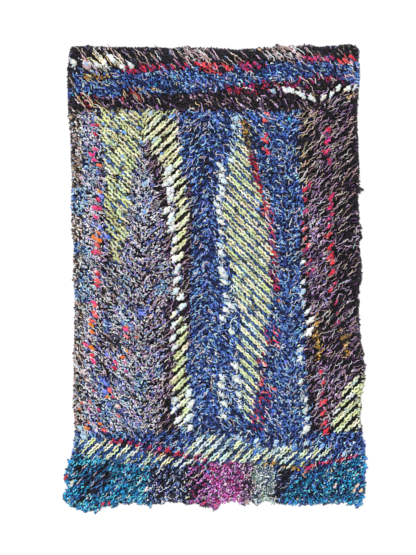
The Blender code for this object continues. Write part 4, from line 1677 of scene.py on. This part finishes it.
class Nodes:
    """A short way to add and link a material's nodes."""

    def __init__(self, name, **values):
        self.material = bpy.data.materials.new(name)
        self.material.use_nodes = True
        self.tree = self.material.node_tree
        self.shader = self.tree.nodes["Principled BSDF"]
        self.set(self.shader, values)

    @staticmethod
    def set(node, values):
        """Sets a node's inputs and other values. In their names _ stands for a space."""
        for key, value in values.items():
            if key.replace("_", " ") in node.inputs:
                node.inputs[key.replace("_", " ")].default_value = value
            else:
                setattr(node, key, value)

    def add(self, kind, **values):
        node = self.tree.nodes.new("ShaderNode" + kind)
        self.set(node, values)
        return node

    def link(self, source, output, target, entry):
        self.tree.links.new(source.outputs[output], target.inputs[entry])

    def bump(self, source, strength):
        raised = self.add("Bump", Strength=strength, Distance=0.002)
        self.link(source, 0, raised, "Height")
        self.link(raised, "Normal", self.shader, "Normal")


def cloth_material(name, grain, bump, fleck, sheen):
    """Rag cloth: its own colour, worn paler and darker in small flecks, with a crinkled face."""
    nodes = Nodes(name, Roughness=0.85, Specular_IOR_Level=0.25, Sheen_Weight=sheen, Sheen_Roughness=0.5)
    colour = nodes.add("Attribute", attribute_name="rag")
    place = nodes.add("TexCoord")
    noise = nodes.add("TexNoise", Scale=grain, Detail=3.0, Roughness=0.6)
    nodes.link(place, "Object", noise, "Vector")
    spread = nodes.add("MapRange", From_Min=0.3, From_Max=0.7, To_Min=fleck[0], To_Max=fleck[1])
    nodes.link(noise, "Fac", spread, "Value")
    tone = nodes.add("VectorMath", operation="SCALE")
    nodes.link(colour, "Color", tone, 0)
    nodes.link(spread, "Result", tone, "Scale")
    nodes.link(tone, "Vector", nodes.shader, "Base Color")
    nodes.bump(noise, bump)
    return nodes.material


def ground_material():
    """A plain weave of dark wool warps under thicker, greyer wefts."""
    nodes = Nodes("ground_weave", Roughness=0.9, Sheen_Weight=0.15)
    place = nodes.add("TexCoord")
    weft = nodes.add("TexWave", Scale=38.0, Distortion=0.6, bands_direction="Y")
    warp = nodes.add("TexWave", Scale=70.0, Distortion=0.4, bands_direction="X")
    weave = nodes.add("Math", operation="MULTIPLY")
    for number, wave in enumerate((weft, warp)):
        nodes.link(place, "Object", wave, "Vector")
        nodes.link(wave, "Fac", weave, number)
    ramp = nodes.add("ValToRGB")
    for element, colour in zip(ramp.color_ramp.elements, ((46, 42, 50), (142, 130, 122))):
        element.color = (*linear(colour), 1)
    nodes.link(weave, "Value", ramp, "Fac")
    nodes.link(ramp, "Color", nodes.shader, "Base Color")
    nodes.bump(weave, 0.6)
    return nodes.material


def placed(name, data):
    thing = bpy.data.objects.new(name, data)
    bpy.context.scene.collection.objects.link(thing)
    return thing


def make_stage():
    """A pale floor, soft light with a brighter side, and the camera overhead."""
    mesh = bpy.data.meshes.new("floor")
    corners = [(x * FLOOR_HALF, y * FLOOR_HALF, 0) for x, y in ((-1, -1), (1, -1), (1, 1), (-1, 1))]
    mesh.from_pydata(corners, [], [(0, 1, 2, 3)])
    mesh.materials.append(Nodes("floor", Base_Color=FLOOR_COLOUR, Roughness=0.9).material)
    floor = placed("floor", mesh)
    floor.location.z = -FLOOR_DROP

    scene = bpy.context.scene
    scene.world = scene.world or bpy.data.worlds.new("world")
    scene.world.use_nodes = True
    background = scene.world.node_tree.nodes["Background"]
    background.inputs["Color"].default_value = WORLD_COLOUR
    background.inputs["Strength"].default_value = WORLD_STRENGTH

    light = bpy.data.lights.new("key", "SUN")
    light.energy = SUN_STRENGTH
    light.angle = math.radians(SUN_DEGREES)
    light.color = SUN_COLOUR
    placed("key", light).rotation_euler = Vector(SUN_WAY).to_track_quat("-Z", "Y").to_euler()

    camera = bpy.data.cameras.new("camera")
    camera.sensor_width = SENSOR
    camera.lens = SENSOR * CAMERA_DISTANCE / (PHOTO_SIZE[1] * PIXEL)
    scene.camera = placed("camera", camera)
    middle = to_metres(PHOTO_SIZE[0] / 2, PHOTO_SIZE[1] / 2)
    scene.camera.location = (*middle, CAMERA_DISTANCE + PILE_TOP)
    scene.view_settings.view_transform = "Standard"


def main():
    surface = Surface(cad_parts[NODE])
    rag = cloth_material("rag_cloth", grain=420.0, bump=0.5, fleck=(0.72, 1.28), sheen=0.12)
    bed_cloth = cloth_material("bed_cloth", grain=260.0, bump=0.8, fleck=(0.6, 1.2), sheen=0.05)
    fleece = cloth_material("fleece", grain=620.0, bump=0.7, fleck=(0.86, 1.08), sheen=0.2)
    bed = make_bed(surface, bed_cloth)
    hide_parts(NODE)
    pile = make_pile(surface, rag)
    rim = make_rim(rag)
    puffs = make_puffs(surface, fleece)
    ground, size = make_ground(ground_material())
    make_stage()


main()
